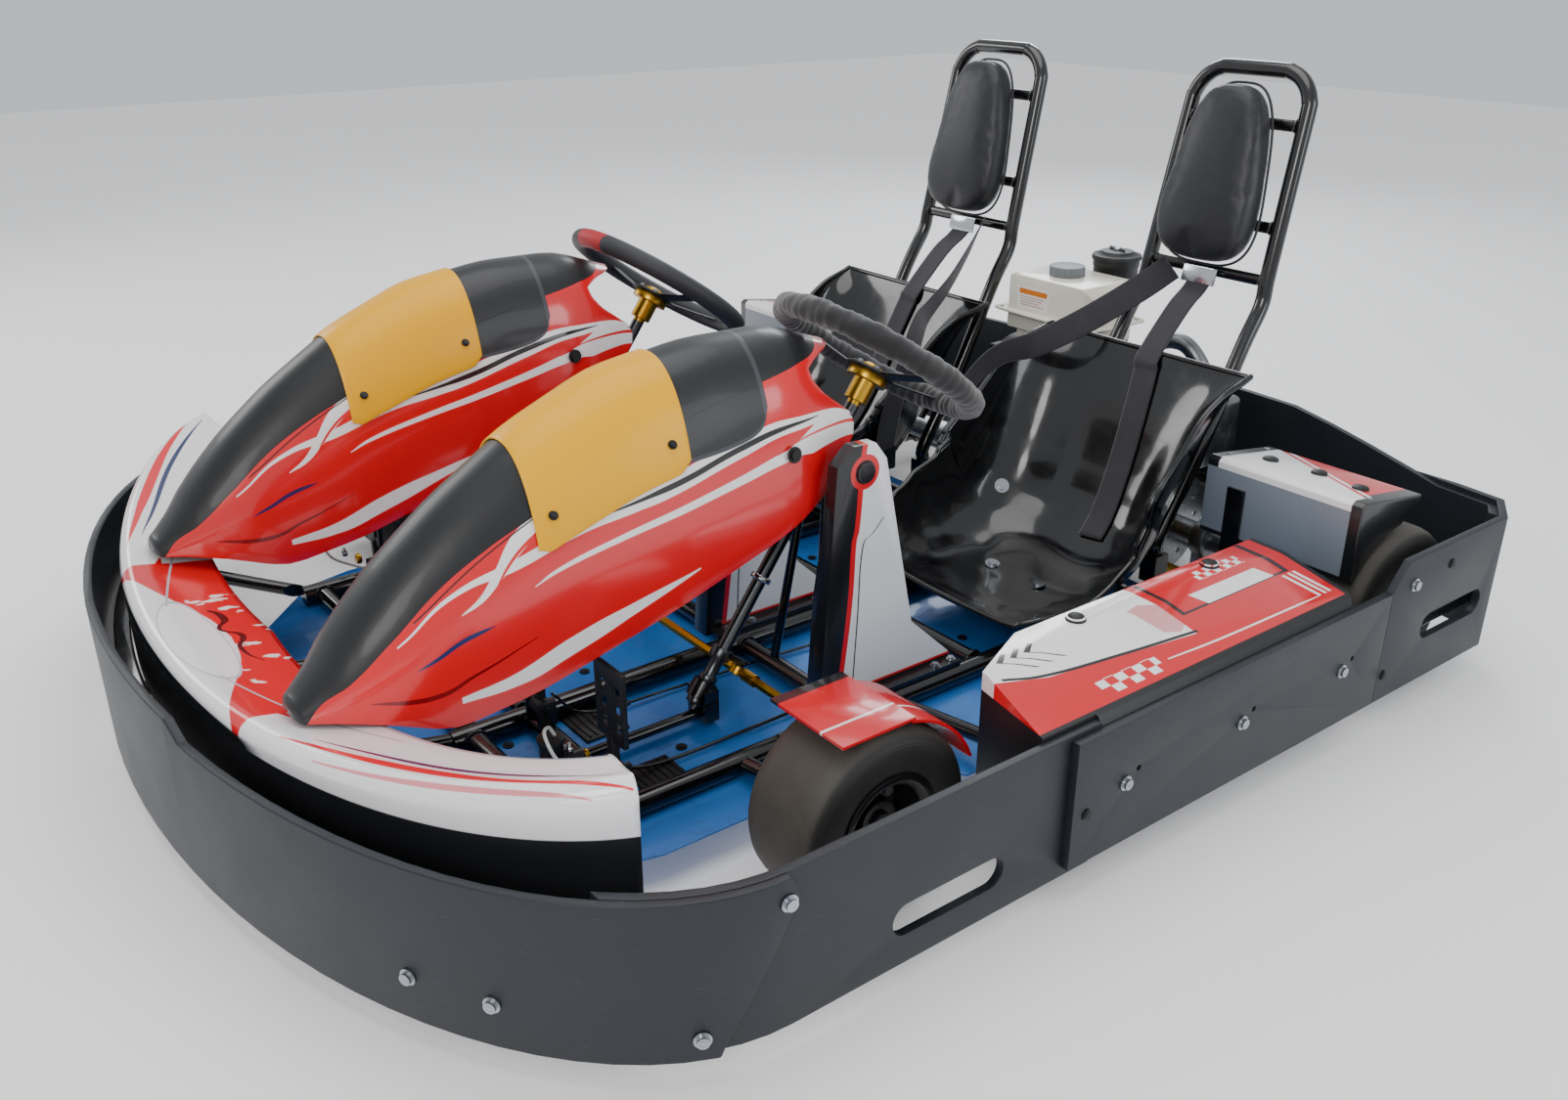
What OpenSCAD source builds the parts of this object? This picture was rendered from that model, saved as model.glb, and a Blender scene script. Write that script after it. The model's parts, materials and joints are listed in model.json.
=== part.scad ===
// Two-seat go kart with side-by-side seats, a rear engine and a full wrap-round bumper.
// Front faces -Y, +X is the left-hand side as the drivers sit, ground is z = 0. Millimetres.

/* [Overall] */
// Width over the bumper strips
overall_w = 1690; // [1600:10:1900]
// Length over the bumper strips
overall_l = 1920; // [1860:10:2200]
// Distance between the two driver centre planes
seat_pitch = 578; // [560:1:640]

/* [Bumper] */
// Thickness of the plastic bumper strips
strip_t = 12; // [8:1:14]
// Height of the lower edge of the front strip
strip_low = 32; // [25:1:45]
// Height of the upper edge of the front strip
front_top = 232; // [215:1:245]
// Height of the upper edge of the side strips
side_top = 226; // [210:1:240]
// Height of the upper edge of the rear corners
corner_top = 268; // [250:1:280]
// Length of the hand slots
slot_l = 170; // [120:5:190]
// Height of the hand slots
slot_h = 42; // [30:1:50]
// Outside diameter of the bumper ring tube
ring_d = 25; // [18:1:26]

/* [Chassis] */
// Outside diameter of the main rails
rail_d = 32; // [28:1:36]
// Height of the floor pan's upper face
floor_top = 48; // [40:1:55]
// Thickness of the floor pan
floor_t = 4; // [2:0.5:6]
// Distance of the outer rails from the middle
rail_x = 430; // [415:1:440]
// Distance of the inner rails from the middle
inner_rail_x = 150; // [140:1:155]

/* [Wheels] */
// Front tyre diameter
front_tyre_d = 254; // [240:1:258]
// Front tyre width
front_tyre_w = 130; // [110:1:134]
// Rear tyre diameter
rear_tyre_d = 264; // [256:1:270]
// Rear tyre width
rear_tyre_w = 180; // [150:1:186]
// Rim bead diameter
rim_d = 127; // [120:1:130]
// Distance of the front wheel centres from the middle
front_track = 670; // [660:1:676]
// Distance of the rear wheel centres from the middle
rear_track = 700; // [690:1:704]
// Place of the front axle along the kart
front_axle_y = -300; // [-304:1:-296]
// Place of the rear axle along the kart
rear_axle_y = 690; // [686:1:696]
// Rear axle diameter
axle_d = 40; // [30:1:42]
// Front stub axle diameter
stub_d = 17; // [15:1:20]
// Radial clearance of shafts in their bores
bore_gap = 0.05; // [0.02:0.01:0.09]

/* [Steering] */
// Steering wheel outside diameter
wheel_d = 332; // [280:2:350]
// Steering wheel rim thickness
grip_d = 32; // [24:1:36]
// Steering column diameter
column_d = 20; // [16:1:22]
// Angle of the column from the vertical
column_tilt = 36; // [34:1:38]
// Radius of the pitman arms
pitman_r = 45; // [40:1:48]
// Length of the knuckle arms
knuckle_arm = 96; // [90:1:100]
// Diameter of the hexagonal tie rods
tie_d = 14; // [10:1:16]

/* [Drive] */
// Teeth of the axle sprocket
axle_teeth = 44; // [36:1:46]
// Teeth of the clutch sprocket
clutch_teeth = 18; // [14:1:20]
// Chain pitch
chain_pitch = 12.7; // [12:0.1:13]
// Brake disc diameter
disc_d = 190; // [160:2:200]

/* [Seats and hoops] */
// Half width of the seat shell
seat_hw = 196; // [180:1:205]
// Wall thickness of the seat shell
seat_t = 6; // [4:0.5:8]
// Hoop tube diameter
hoop_d = 26; // [22:1:28]
// Hoop leg spacing at the foot
hoop_foot = 250; // [240:2:256]
// Headrest thickness
pad_t = 56; // [40:1:60]

/* [Body panels] */
// Wall thickness of the moulded panels
panel_t = 4; // [3:0.5:5]
// Half width of the fairings at their widest
fairing_hw = 104; // [90:1:112]
// Outside half width of the side pods' top
pod_w = 178; // [150:1:180]

/* [Hidden] */
$fn = 48;

big = 3000;
// gap between pieces that rest on each other
seat_gap = 0.3;
half_w = overall_w / 2;
nose_y = -overall_l / 2;
tail_y = overall_l / 2 + strip_t;
seat_x = seat_pitch / 2;
rail_r = rail_d / 2;
cross_r = rail_r - 2;
rail_z = floor_top + rail_r;

// front ellipse of the bumper
arc_depth = 440;
arc_y = nose_y + arc_depth;
arc_steps = 44;

// steering geometry
hub_y = 33;
hub_z = 512;
link_z = 110;
pin_r = 5;
king_x = front_track - 90;
king_pin_r = 8;
pedal_y = -470;

// drive geometry
front_axle_z = front_tyre_d / 2;
rear_axle_z = rear_tyre_d / 2;
sprocket_x = 205;
sprocket_r = chain_pitch / 2 / sin(180 / axle_teeth);
clutch_r = chain_pitch / 2 / sin(180 / clutch_teeth);
crank_y = rear_axle_y + 112;
crank_z = rear_axle_z + 142;
disc_x = 345;

// ---------- helpers ----------

function unit(v) = v / norm(v);
function tangent(p, i) = unit(p[min(i + 1, len(p) - 1)] - p[max(i - 1, 0)]);
function lerp(a, b, t) = a + (b - a) * t;
// value at t of a smooth run through the pairs [t, value]
function run_at(pairs, t, i = 0) =
    i >= len(pairs) - 2 || t <= pairs[i + 1][0]
        ? let (u = (t - pairs[i][0]) / (pairs[i + 1][0] - pairs[i][0]))
            lerp(pairs[i][1], pairs[i + 1][1], u)
        : run_at(pairs, t, i + 1);
// point at share t along a list of points, rounded at the corners
function raw_at(p, t) = let (s = t * (len(p) - 1), i = min(floor(s), len(p) - 2)) lerp(p[i], p[i + 1], s - i);
function soft_at(p, t, w = 0.5) =
    let (h = w / (len(p) - 1), a = max(t - h, 0), b = min(t + h, 1))
    (raw_at(p, a) + raw_at(p, b) + 2 * raw_at(p, (a + t) / 2) + 2 * raw_at(p, (b + t) / 2)) / 6;

// solid swept along path; section points lie across it, ref is never along it
module sweep(path, section, ref) {
    n = len(section);
    m = len(path);
    points = [for (i = [0:m - 1])
        let (t = tangent(path, i), u = unit(cross(t, ref)), v = cross(u, t))
            for (s = section) path[i] + s[0] * u + s[1] * v];
    sides = [for (i = [0:m - 2], j = [0:n - 1])
        let (a = i * n + j, b = i * n + (j + 1) % n)
            each [[a, b, b + n], [a, b + n, a + n]]];
    caps = [[for (j = [n - 1:-1:0]) j], [for (j = [0:n - 1]) (m - 1) * n + j]];
    polyhedron(points, concat(sides, caps), convexity = 8);
}

function ring_of(r, n) = [for (j = [0:n - 1]) r * [cos(360 * j / n), sin(360 * j / n)]];
function box_of(w, h) = [[-w / 2, -h / 2], [w / 2, -h / 2], [w / 2, h / 2], [-w / 2, h / 2]];

module bent_tube(path, d, ref, sides = 12) {
    sweep(path, ring_of(d / 2, sides), ref);
}

// closed shell between two grids of points with the same rows and columns
module shell(inner, outer) {
    m = len(inner);
    n = len(inner[0]);
    k = m * n;
    points = concat([for (row = inner) each row], [for (row = outer) each row]);
    faces = concat(
        [for (i = [0:m - 2], j = [0:n - 2]) let (a = i * n + j)
            each [[a, a + 1, a + n + 1], [a, a + n + 1, a + n]]],
        [for (i = [0:m - 2], j = [0:n - 2]) let (a = k + i * n + j)
            each [[a, a + n + 1, a + 1], [a, a + n, a + n + 1]]],
        [for (i = [0:m - 2]) let (a = i * n, b = a + n) each [[a, b, k + b], [a, k + b, k + a]]],
        [for (i = [0:m - 2]) let (a = i * n + n - 1, b = a + n) each [[a, k + b, b], [a, k + a, k + b]]],
        [for (j = [0:n - 2]) each [[j, k + j + 1, j + 1], [j, k + j, k + j + 1]]],
        [for (j = [0:n - 2]) let (a = (m - 1) * n + j) each [[a, a + 1, k + a + 1], [a, k + a + 1, k + a]]]
    );
    polyhedron(points, faces, convexity = 10);
}

module rod(a, b, r) {
    v = b - a;
    l = norm(v);
    translate(a) rotate([0, acos(v[2] / l), atan2(v[1], v[0])]) cylinder(r = r, h = l);
}

module bar_x(x0, x1, y, z, r) { translate([x0, y, z]) rotate([0, 90, 0]) cylinder(r = r, h = x1 - x0); }
module bar_y(y0, y1, x, z, r) { translate([x, y0, z]) rotate([-90, 0, 0]) cylinder(r = r, h = y1 - y0); }
module block(lo, hi) { translate(lo) cube(hi - lo); }
module both() { children(); mirror([1, 0, 0]) children(); }
// a ring about the X axis through y, z
module ring_x(x0, x1, r0, r1, y, z) {
    difference() {
        bar_x(x0, x1, y, z, r1);
        bar_x(x0 - 1, x1 + 1, y, z, r0);
    }
}
// children drawn about the column axis, with the origin at the hub's top face
module on_column(s) { translate([s * seat_x, hub_y, hub_z]) rotate([-column_tilt, 0, 0]) children(); }
function column_at(z) = (hub_z - z) / cos(column_tilt);

// ---------- bumper ----------

// outer line of the bumper, moved inwards by d
function front_arc(d) = [for (i = [0:arc_steps])
    let (a = 180 * i / arc_steps) [(half_w - d) * cos(a), arc_y - (arc_depth - d) * sin(a)]];

corner_y = tail_y - 60;
corner_x = half_w - 40;
function half_tail(d) = [[300 - 0.04 * d, tail_y - d], [560 - 0.08 * d, tail_y - 22 - d],
    [corner_x - 0.61 * d, corner_y + 5 - 0.93 * d], [half_w - d, corner_y - 62 - 0.28 * d]];
function flip(p) = [for (q = p) [for (k = [0:len(q) - 1]) k == 0 ? -q[0] : q[k]]];
function back(p) = [for (i = [len(p) - 1:-1:0]) p[i]];
function tail_line(d) = concat(flip(back(half_tail(d))), half_tail(d));

module around(d) { polygon(concat(front_arc(d), tail_line(d))); }

module wall(d, low, high) {
    translate([0, 0, low]) linear_extrude(high - low) difference() {
        around(d);
        around(d + strip_t);
    }
}

// keeps what lies in a front view outline, points in x and z
module front_view(outline) { translate([0, big / 2, 0]) rotate([90, 0, 0]) linear_extrude(big) polygon(outline); }
// keeps what lies in a side view outline, points in y and z
module side_view(outline) { rotate([90, 0, 90]) translate([0, 0, -big / 2]) linear_extrude(big) polygon(outline); }

module hand_slot(y, z) {
    both() bar_slot(y, z);
}
module bar_slot(y, z) {
    for (e = [-1, 1]) bar_x(half_w - 80, half_w + 40, y + e * (slot_l - slot_h) / 2, z, slot_h / 2);
    block([half_w - 80, y - (slot_l - slot_h) / 2, z - slot_h / 2], [half_w + 40, y + (slot_l - slot_h) / 2, z + slot_h / 2]);
}

slot_front_y = -298;
slot_front_z = 92;
slot_rear_y = 731;
slot_rear_z = 140;
raise_w = 190;
raise_h = 20;
joint_y = -112;
corner_start = 545;
side_low = 48;

module front_bumper_strip() {
    color("#2b2f33") intersection() {
        wall(0, strip_low, front_top + raise_h);
        front_view([[-big, 0], [big, 0], [big, front_top], [raise_w + 30, front_top], [raise_w, front_top + raise_h],
            [-raise_w, front_top + raise_h], [-raise_w - 30, front_top], [-big, front_top]]);
        side_view([[-big, 0], [-620, 0], [-600, strip_low + 22], [-520, front_top - 26], [-530, front_top + 1],
            [-560, front_top + raise_h + 1], [-big, front_top + raise_h + 1]]);
    }
}

module front_side_strips() {
    difference() {
        intersection() {
            wall(strip_t, strip_low, front_top);
            block([-big, -700, 0], [big, joint_y + 52, big]);
        }
        hand_slot(slot_front_y, slot_front_z);
        block([-half_w + 150, -big, 0], [half_w - 150, big, big]);
    }
}

side_screw_y = [-20, 212, 440];
module side_strips() {
    both() difference() {
        block([half_w - strip_t, joint_y, side_low], [half_w, corner_start - 1, side_top]);
        for (y = side_screw_y) bar_x(half_w - 40, half_w + 5, y + 24, 150, 4);
    }
}

module rear_corner_strips() {
    difference() {
        intersection() {
            wall(0, side_low, corner_top);
            side_view([[corner_start, 0], [tail_y - 44, 0], [tail_y - 44, big], [corner_start + 34, big],
                [corner_start + 34, corner_top], [corner_start, side_top]]);
        }
        hand_slot(slot_rear_y, slot_rear_z);
    }
}

module rear_bumper_strip() {
    intersection() {
        wall(strip_t, side_low, 312);
        block([-big, corner_y - 48, 0], [big, big, big]);
        front_view([[-big, side_low], [big, side_low], [big, corner_top - 8], [700, corner_top - 8], [480, 300], [400, 312],
            [-400, 312], [-480, 300], [-700, corner_top - 8], [-big, corner_top - 8]]);
    }
}

module corner_strips() {
    color("#2b2f33") {
        front_side_strips();
        rear_corner_strips();
    }
}
module side_rear_strips() {
    color("#2b2f33") {
        side_strips();
        rear_bumper_strip();
    }
}

ring_z = 116;
ring_in = 2 * strip_t + seat_gap;
module bumper_ring() {
    color("#1c1c1e") translate([0, 0, ring_z]) linear_extrude(ring_d) difference() {
        around(ring_in);
        around(ring_in + ring_d);
    }
}

screw_z = 138;
module bumper_screw(at, facing) {
    translate(at) rotate([0, 90, facing]) translate([0, 0, 0.3]) {
        cylinder(r = 10, h = 2);
        translate([0, 0, 2]) cylinder(r = 7, h = 5);
    }
}
// the same on the front strip, at the share a of the quarter turn from the nose
module front_screw(a, z) {
    n = [sin(a) / half_w, -cos(a) / arc_depth];
    bumper_screw([half_w * sin(a), arc_y - arc_depth * cos(a), z], atan2(n[1], n[0]));
}
module bumper_screws() {
    color("#b9bdc2") both() {
        for (y = side_screw_y) bumper_screw([half_w, y, screw_z], 0);
        for (p = [[44, 92], [53, 90], [76, 62], [88, 205]]) front_screw(p[0], p[1]);
        bumper_screw([half_w, 600, 226], 0);
    }
}

// ---------- chassis ----------

outrigger_y = [-30, 500];
outrigger_r = cross_r - 3;
rail_y0 = -590;
rear_cross_y = rear_axle_y + 100;
rail_y1 = rear_cross_y + 22;
cross_at = [-560, pedal_y, -100, 150, 520, rear_cross_y];
weld_gap = 0.1;
module frame_rails() {
    color("#1a1a1c") for (x = [rail_x, inner_rail_x], s = [-1, 1]) bar_y(rail_y0, rail_y1, s * x, rail_z, rail_r);
}
// tubes between the rails
module frame_crossbars() {
    in = inner_rail_x - rail_r - weld_gap;
    out = inner_rail_x + rail_r + weld_gap;
    color("#1a1a1c") for (y = cross_at) {
        bar_x(-in, in, y, rail_z, cross_r);
        both() bar_x(out, rail_x - rail_r - weld_gap, y, rail_z, cross_r);
    }
}
// what is welded to the outer face of the outer rail
module off_rail() {
    intersection() {
        children();
        block([rail_x + rail_r + weld_gap, -big, 0], [big, big, big]);
    }
}
// the ring is clamped on the ends of these rods
module outriggers() {
    intersection() {
        both() {
            off_rail() {
                for (y = outrigger_y) outrigger(y);
                rod([rail_x, -575, rail_z], [580, -790, ring_z + 8], outrigger_r);
                rod([rail_x, rear_cross_y - 5, rail_z], [rail_x + 70, 925, ring_z + 10], outrigger_r);
            }
            intersection() {
                rod([inner_rail_x, -575, rail_z], [inner_rail_x, -925, ring_z + 10], outrigger_r);
                block([0, -big, 0], [big, rail_y0 - weld_gap, big]);
            }
        }
        linear_extrude(big) around(ring_in + ring_d + seat_gap);
    }
}
module outrigger(y, spare = 0) {
    rod([rail_x, y, rail_z], [half_w - ring_in, y, ring_z + 10], outrigger_r + spare);
}
module chassis_frame() {
    color("#1a1a1c") {
        outriggers();
        both() {
            off_rail() rod([rail_x, front_axle_y, rail_z], [king_x - 28, front_axle_y, rail_z + 22], cross_r - 2);
            fork();
            column_support();
            seat_struts();
            nose_post();
            cover_bracket();
        }
    }
}

// post under the nose panel
module nose_post() {
    p = nose_row(77, panel_t)[5];
    translate([p[0], p[1], ring_z]) cylinder(r = 6, h = p[2] - ring_z - 1.9);
}

// bracket of the rear cover, on the rear outrigger
bracket_x = 560;
module cover_bracket() {
    z = lerp(rail_z, ring_z + 10, (bracket_x - rail_x) / (half_w - ring_in - rail_x));
    block([bracket_x - 15, outrigger_y[1], z], [bracket_x + 15, cover_y0 - seat_gap, z + 6]);
    block([bracket_x - 15, cover_y0 - seat_gap - 5, z], [bracket_x + 15, cover_y0 - seat_gap, cover_z - 40]);
}

collar_r = 14;
fork_gap = 56;
fork_t = 9;
// C-shaped carrier of the kingpin
module fork() {
    for (e = [-1, 1]) difference() {
        translate([0, 0, front_axle_z + e * (fork_gap + fork_t) / 2 - fork_t / 2]) union() {
            translate([king_x, front_axle_y, 0]) cylinder(r = 15, h = fork_t);
            translate([king_x - 42, front_axle_y - 15, 0]) cube([42, 30, fork_t]);
        }
        translate([king_x, front_axle_y, 0]) cylinder(r = king_pin_r + bore_gap, h = 300);
    }
    block([king_x - 48, front_axle_y - 15, front_axle_z - fork_gap / 2 - fork_t],
        [king_x - 36, front_axle_y + 15, front_axle_z + fork_gap / 2 + fork_t]);
    block([king_x - 44, front_axle_y - 12, rail_z + 4], [king_x - 36, front_axle_y + 12, front_axle_z - 20]);
}

top_bearing = column_at(385);
low_bearing = column_at(100);
bearing_l = 26;
module column_ring(at) {
    on_column(1) translate([0, 0, -at - bearing_l / 2]) difference() {
        cylinder(r = column_d / 2 + 9, h = bearing_l);
        translate([0, 0, -1]) cylinder(r = column_d / 2 + bore_gap, h = bearing_l + 2);
    }
}
module column_support() {
    y_top = hub_y - (hub_z - 385) * tan(column_tilt);
    y_low = hub_y - (hub_z - 100) * tan(column_tilt);
    hold = fair_point(fair_hold[0], fair_hold[1], panel_t + 1.6);
    column_ring(top_bearing);
    column_ring(low_bearing);
    for (e = [-1, 1]) {
        difference() {
            rod([seat_x + e * 52, cross_at[2], rail_z], [seat_x + e * 22, y_top, 385], 7);
            bar_x(0, half_w, cross_at[2], rail_z, cross_r + weld_gap);
        }
        rod([seat_x + e * 22, y_top, 383], [seat_x + e * 22, hold[1], hold[2]], 6);
    }
    bar_x(seat_x - hold[0], seat_x + hold[0], hold[1], hold[2], 4);
    difference() {
        block([seat_x - 22, y_low - 10, rail_z - 8], [seat_x + 22, y_low + 14, 104]);
        for (e = [-1, 1]) on_column(1) translate([0, 0, -low_bearing + e * (bearing_l / 2 + 40) - 40])
            cylinder(r = collar_r + 2, h = 80);
        on_column(1) translate([0, 0, -low_bearing - bearing_l]) cylinder(r = column_d / 2 + 4, h = 2 * bearing_l);
    }
    bar_y(pedal_y + cross_r + weld_gap, y_low, seat_x, rail_z, 8);
}

strut_x = 40;
strut_y = 350;
hoop_foot_y = 572;
hoop_foot_z = 132;
module seat_struts() {
    for (e = [-1, 1]) block([seat_x + e * strut_x - 12, strut_y - 20, rail_z - 6], [seat_x + e * strut_x + 12, strut_y + 20, seat_under]);
    for (e = [-1, 1]) bar_x(inner_rail_x + rail_r + weld_gap, rail_x - rail_r - weld_gap, strut_y + e * 22, rail_z, 8);
    // feet of the hoops
    for (e = [-1, 1]) block([seat_x + e * hoop_foot / 2 - 16, hoop_foot_y - 16, rail_z + rail_r + weld_gap],
        [seat_x + e * hoop_foot / 2 + 16, hoop_foot_y + 16, hoop_foot_z - 2.5]);
}
seat_low = 99.2;
seat_under = seat_low - seat_t - seat_gap;

module floor_pan() {
    half = [[360, -690], [500, -560], [520, -480], [520, -130], [620, -60], [620, 560], [440, 600]];
    color("#1668b8") translate([0, 0, floor_top - floor_t - 0.3]) linear_extrude(floor_t)
        polygon(concat(half, back(flip(half))));
}

// ---------- body panels ----------

nose_steps = 36;
nose_in = ring_in + ring_d + 2 * seat_gap;
function nose_edge(a) = 252 + 74 * pow(abs(cos(a)), 2.2);
function nose_point(a, d, z) = [(half_w - nose_in - d) * cos(a) * 0.94, arc_y - 22 - (arc_depth - 22 - nose_in - d) * sin(a), z];
function nose_row(a, w) = let (h = nose_edge(a), deep = 150 - 50 * abs(cos(a)))
    [nose_point(a, w, ring_z + ring_d - 2), nose_point(a, w, 160), nose_point(a, w, h - 26 - w * 0.4),
     nose_point(a, 5 + w, h - 8 - w), nose_point(a, 18 + w * 0.4, h - w), nose_point(a, deep * 0.55, h - 13 - w),
     nose_point(a, deep, h - 24 - w)];
module nose_panel() {
    angles = [for (i = [0:nose_steps]) lerp(14, 166, i / nose_steps)];
    color("#f2f3f5") shell([for (a = angles) nose_row(a, panel_t)], [for (a = angles) nose_row(a, 0)]);
}

// fairing: ridge and lower edge as [y, z], half width as [y, w]
fair_y0 = -826;
fair_y1 = -38;
ridge = [[0, 277], [0.06, 346], [0.14, 412], [0.24, 476], [0.38, 545], [0.53, 594], [0.70, 613], [0.86, 611], [1, 572]];
hem = [[0, 264], [0.06, 260], [0.1, 253], [0.2, 226], [0.34, 246], [0.55, 292], [0.8, 350], [1, 420]];
waist = [[0, 30], [0.06, 62], [0.16, 86], [0.34, 98], [0.6, 104], [0.85, 96], [1, 60]];
// where the column support holds the fairing, as share of its length and angle
fair_hold = [0.945, 84];
fair_rows = 22;
fair_cols = 18;
function smooth_run(p, t) = (run_at(p, max(t - 0.03, 0)) + 2 * run_at(p, t) + run_at(p, min(t + 0.03, 1))) / 4;
function fair_point(t, a, w) =
    let (zr = smooth_run(ridge, t) - w, zh = smooth_run(hem, t), hw = smooth_run(waist, t) * fairing_hw / 104 - w,
        c = cos(a), s = sin(a))
    [hw * sign(s) * pow(abs(s), 0.9), lerp(fair_y0 + w * 2, fair_y1, t), zh + (zr - zh) * pow(abs(c), 0.75)];
module fairing() {
    rows = [for (i = [0:fair_rows]) i / fair_rows];
    cols = [for (j = [0:fair_cols]) -90 + 180 * j / fair_cols];
    color("#d5121e") translate([seat_x, 0, 0]) shell(
        [for (t = rows) [for (a = cols) fair_point(t, a, panel_t)]],
        [for (t = rows) [for (a = cols) fair_point(t, a, 0)]]);
}
module left_fairing() { fairing(); }
module right_fairing() { mirror([1, 0, 0]) fairing(); }

plate_t = 3;
plate_lift = 0.8;
plate_from = 0.36;
plate_to = 0.62;
module number_plates() {
    rows = [for (i = [0:6]) lerp(plate_from, plate_to, i / 6)];
    cols = [for (j = [0:12]) -62 + 124 * j / 12];
    function plate_point(t, a, w) = let (p = fair_point(t, a, 0)) [p[0] * (1 + w / 90), p[1], p[2] + w * (0.35 + 0.65 * cos(a))];
    color("#f2c40f") both() translate([seat_x, 0, 0]) shell(
        [for (t = rows) [for (a = cols) plate_point(t, a, plate_lift)]],
        [for (t = rows) [for (a = cols) plate_point(t, a, plate_lift + plate_t)]]);
}

pod_in = half_w - 22 - pod_w;
module side_pod() {
    top = half_w - strip_t - 0.5;
    nose = top - strip_t;
    low = half_w - ring_in - ring_d - 0.5;
    plan = [[pod_in, 478], [pod_in, -10], [pod_in + 52, -126], [nose, -150], [nose, joint_y + 53], [top, joint_y + 53],
        [top, 462], [top - 18, 478]];
    color("#15161a") union() {
        intersection() {
            translate([0, 0, ring_z + ring_d + seat_gap]) linear_extrude(200) polygon(plan);
            front_view([[pod_in - 1, 0], [half_w, 0], [half_w, 200], [half_w - strip_t - 8, 236], [pod_in + 62, 262],
                [pod_in + 6, 264], [pod_in - 1, 258]]);
        }
        difference() {
            translate([0, 0, floor_top + 32]) linear_extrude(ring_z + ring_d + 2 - floor_top - 32) polygon(plan);
            block([low, -big, 0], [big, big, big]);
            outrigger(outrigger_y[0], 1);
        }
        for (y = [70, 350]) translate([pod_in + 26, y, 262]) cylinder(r = 13, h = 6);
    }
}
module left_side_pod() { side_pod(); }
module right_side_pod() { mirror([1, 0, 0]) side_pod(); }

cover_x0 = 500;
cover_x1 = 768;
cover_y0 = 562;
cover_y1 = 724;
cover_z = 334;
module rear_covers() {
    color("#8d9196") both() difference() {
        intersection() {
            block([cover_x0, cover_y0, 206], [cover_x1, cover_y1, cover_z]);
            side_view([[cover_y0, 200], [cover_y1, 300], [cover_y1, cover_z - 22], [cover_y0 + 8, cover_z], [cover_y0, cover_z - 6]]);
        }
        difference() {
            block([cover_x0 - 1, cover_y0 + panel_t, 200], [cover_x1 - panel_t, cover_y1 + 1, cover_z]);
            side_view([[cover_y0, cover_z - 10 - panel_t], [cover_y1 + 5, cover_z - 23 - panel_t], [cover_y1 + 5, cover_z + 9],
                [cover_y0, cover_z + 9]]);
        }
        bar_x(0, big, rear_axle_y, rear_axle_z, rear_tyre_d / 2 + 8);
    }
}

// side guard of the footwell, x is its outer face; it stands on the rails
guard_z = rail_z + rail_r + seat_gap;
module guard(x, w) {
    body = [[-150, guard_z], [108, guard_z], [96, guard_z + 18], [20, 170], [-38, 436], [-58, 462], [-96, 464], [-124, 440]];
    intersection() {
        side_view(body);
        front_view([[x - w, 0], [x, 0], [x, 500], [x - 20, 500], [x - 20, 370], [x - w, 250]]);
    }
    block([x - w, -140, guard_z], [x + 22, 104, guard_z + 8]);
    translate([x - 1, -76, 424]) rotate([0, 90, 0]) cylinder(r = 15, h = 5);
    for (y = [-70, 60]) translate([x + 12, y, guard_z + 7]) cylinder(r = 5, h = 4);
}
module leg_guards() {
    color("#e9eaec") {
        guard(412, 32);
        guard(128, 32);
    }
}
module left_leg_guards() { leg_guards(); }
module right_leg_guards() { mirror([1, 0, 0]) leg_guards(); }

// ---------- seats ----------

// centre line of the seat shell in y and z, from the front lip to the top of the back
seat_line = [[176, 128], [236, 104], [330, 96], [425, 100], [505, 138], [556, 214], [598, 304], [632, 386], [666, 458]];
inner_rise = [[0, 60], [0.15, 130], [0.35, 170], [0.6, 190], [0.85, 110], [1, 12]];
outer_rise = [[0, 6], [0.25, 30], [0.45, 84], [0.62, 128], [0.85, 84], [1, 4]];
seat_wide = [[0, 0.84], [0.2, 0.95], [0.5, 1], [1, 1.04]];
seat_rows = 20;
seat_cols = 20;
function seat_mid(t) = soft_at(seat_line, t, 0.8);
function seat_dir(t) = unit(seat_mid(min(t + 0.02, 1)) - seat_mid(max(t - 0.02, 0)));
// point of the shell at share t along it and at angle a across it, w outside the inner face
function seat_point(t, a, w) =
    let (m = seat_mid(t), d = seat_dir(t), n = [-d[1], d[0]], c = pow(1 - cos(a), 1.5),
        rise = smooth_run(a < 0 ? inner_rise : outer_rise, t), p = m + n * (rise * c - w * (1 - c)))
    [sin(a) * (seat_hw * run_at(seat_wide, t) + w), p[0], p[1]];
module seat() {
    rows = [for (i = [0:seat_rows]) i / seat_rows];
    cols = [for (j = [0:seat_cols]) -90 + 180 * j / seat_cols];
    color("#0e0f12") translate([seat_x, 0, 0]) shell(
        [for (t = rows) [for (a = cols) seat_point(t, a, 0)]],
        [for (t = rows) [for (a = cols) seat_point(t, a, seat_t)]]);
}
module left_seat() { seat(); }
module right_seat() { mirror([1, 0, 0]) seat(); }

// ---------- hoops, headrests and belts ----------

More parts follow.
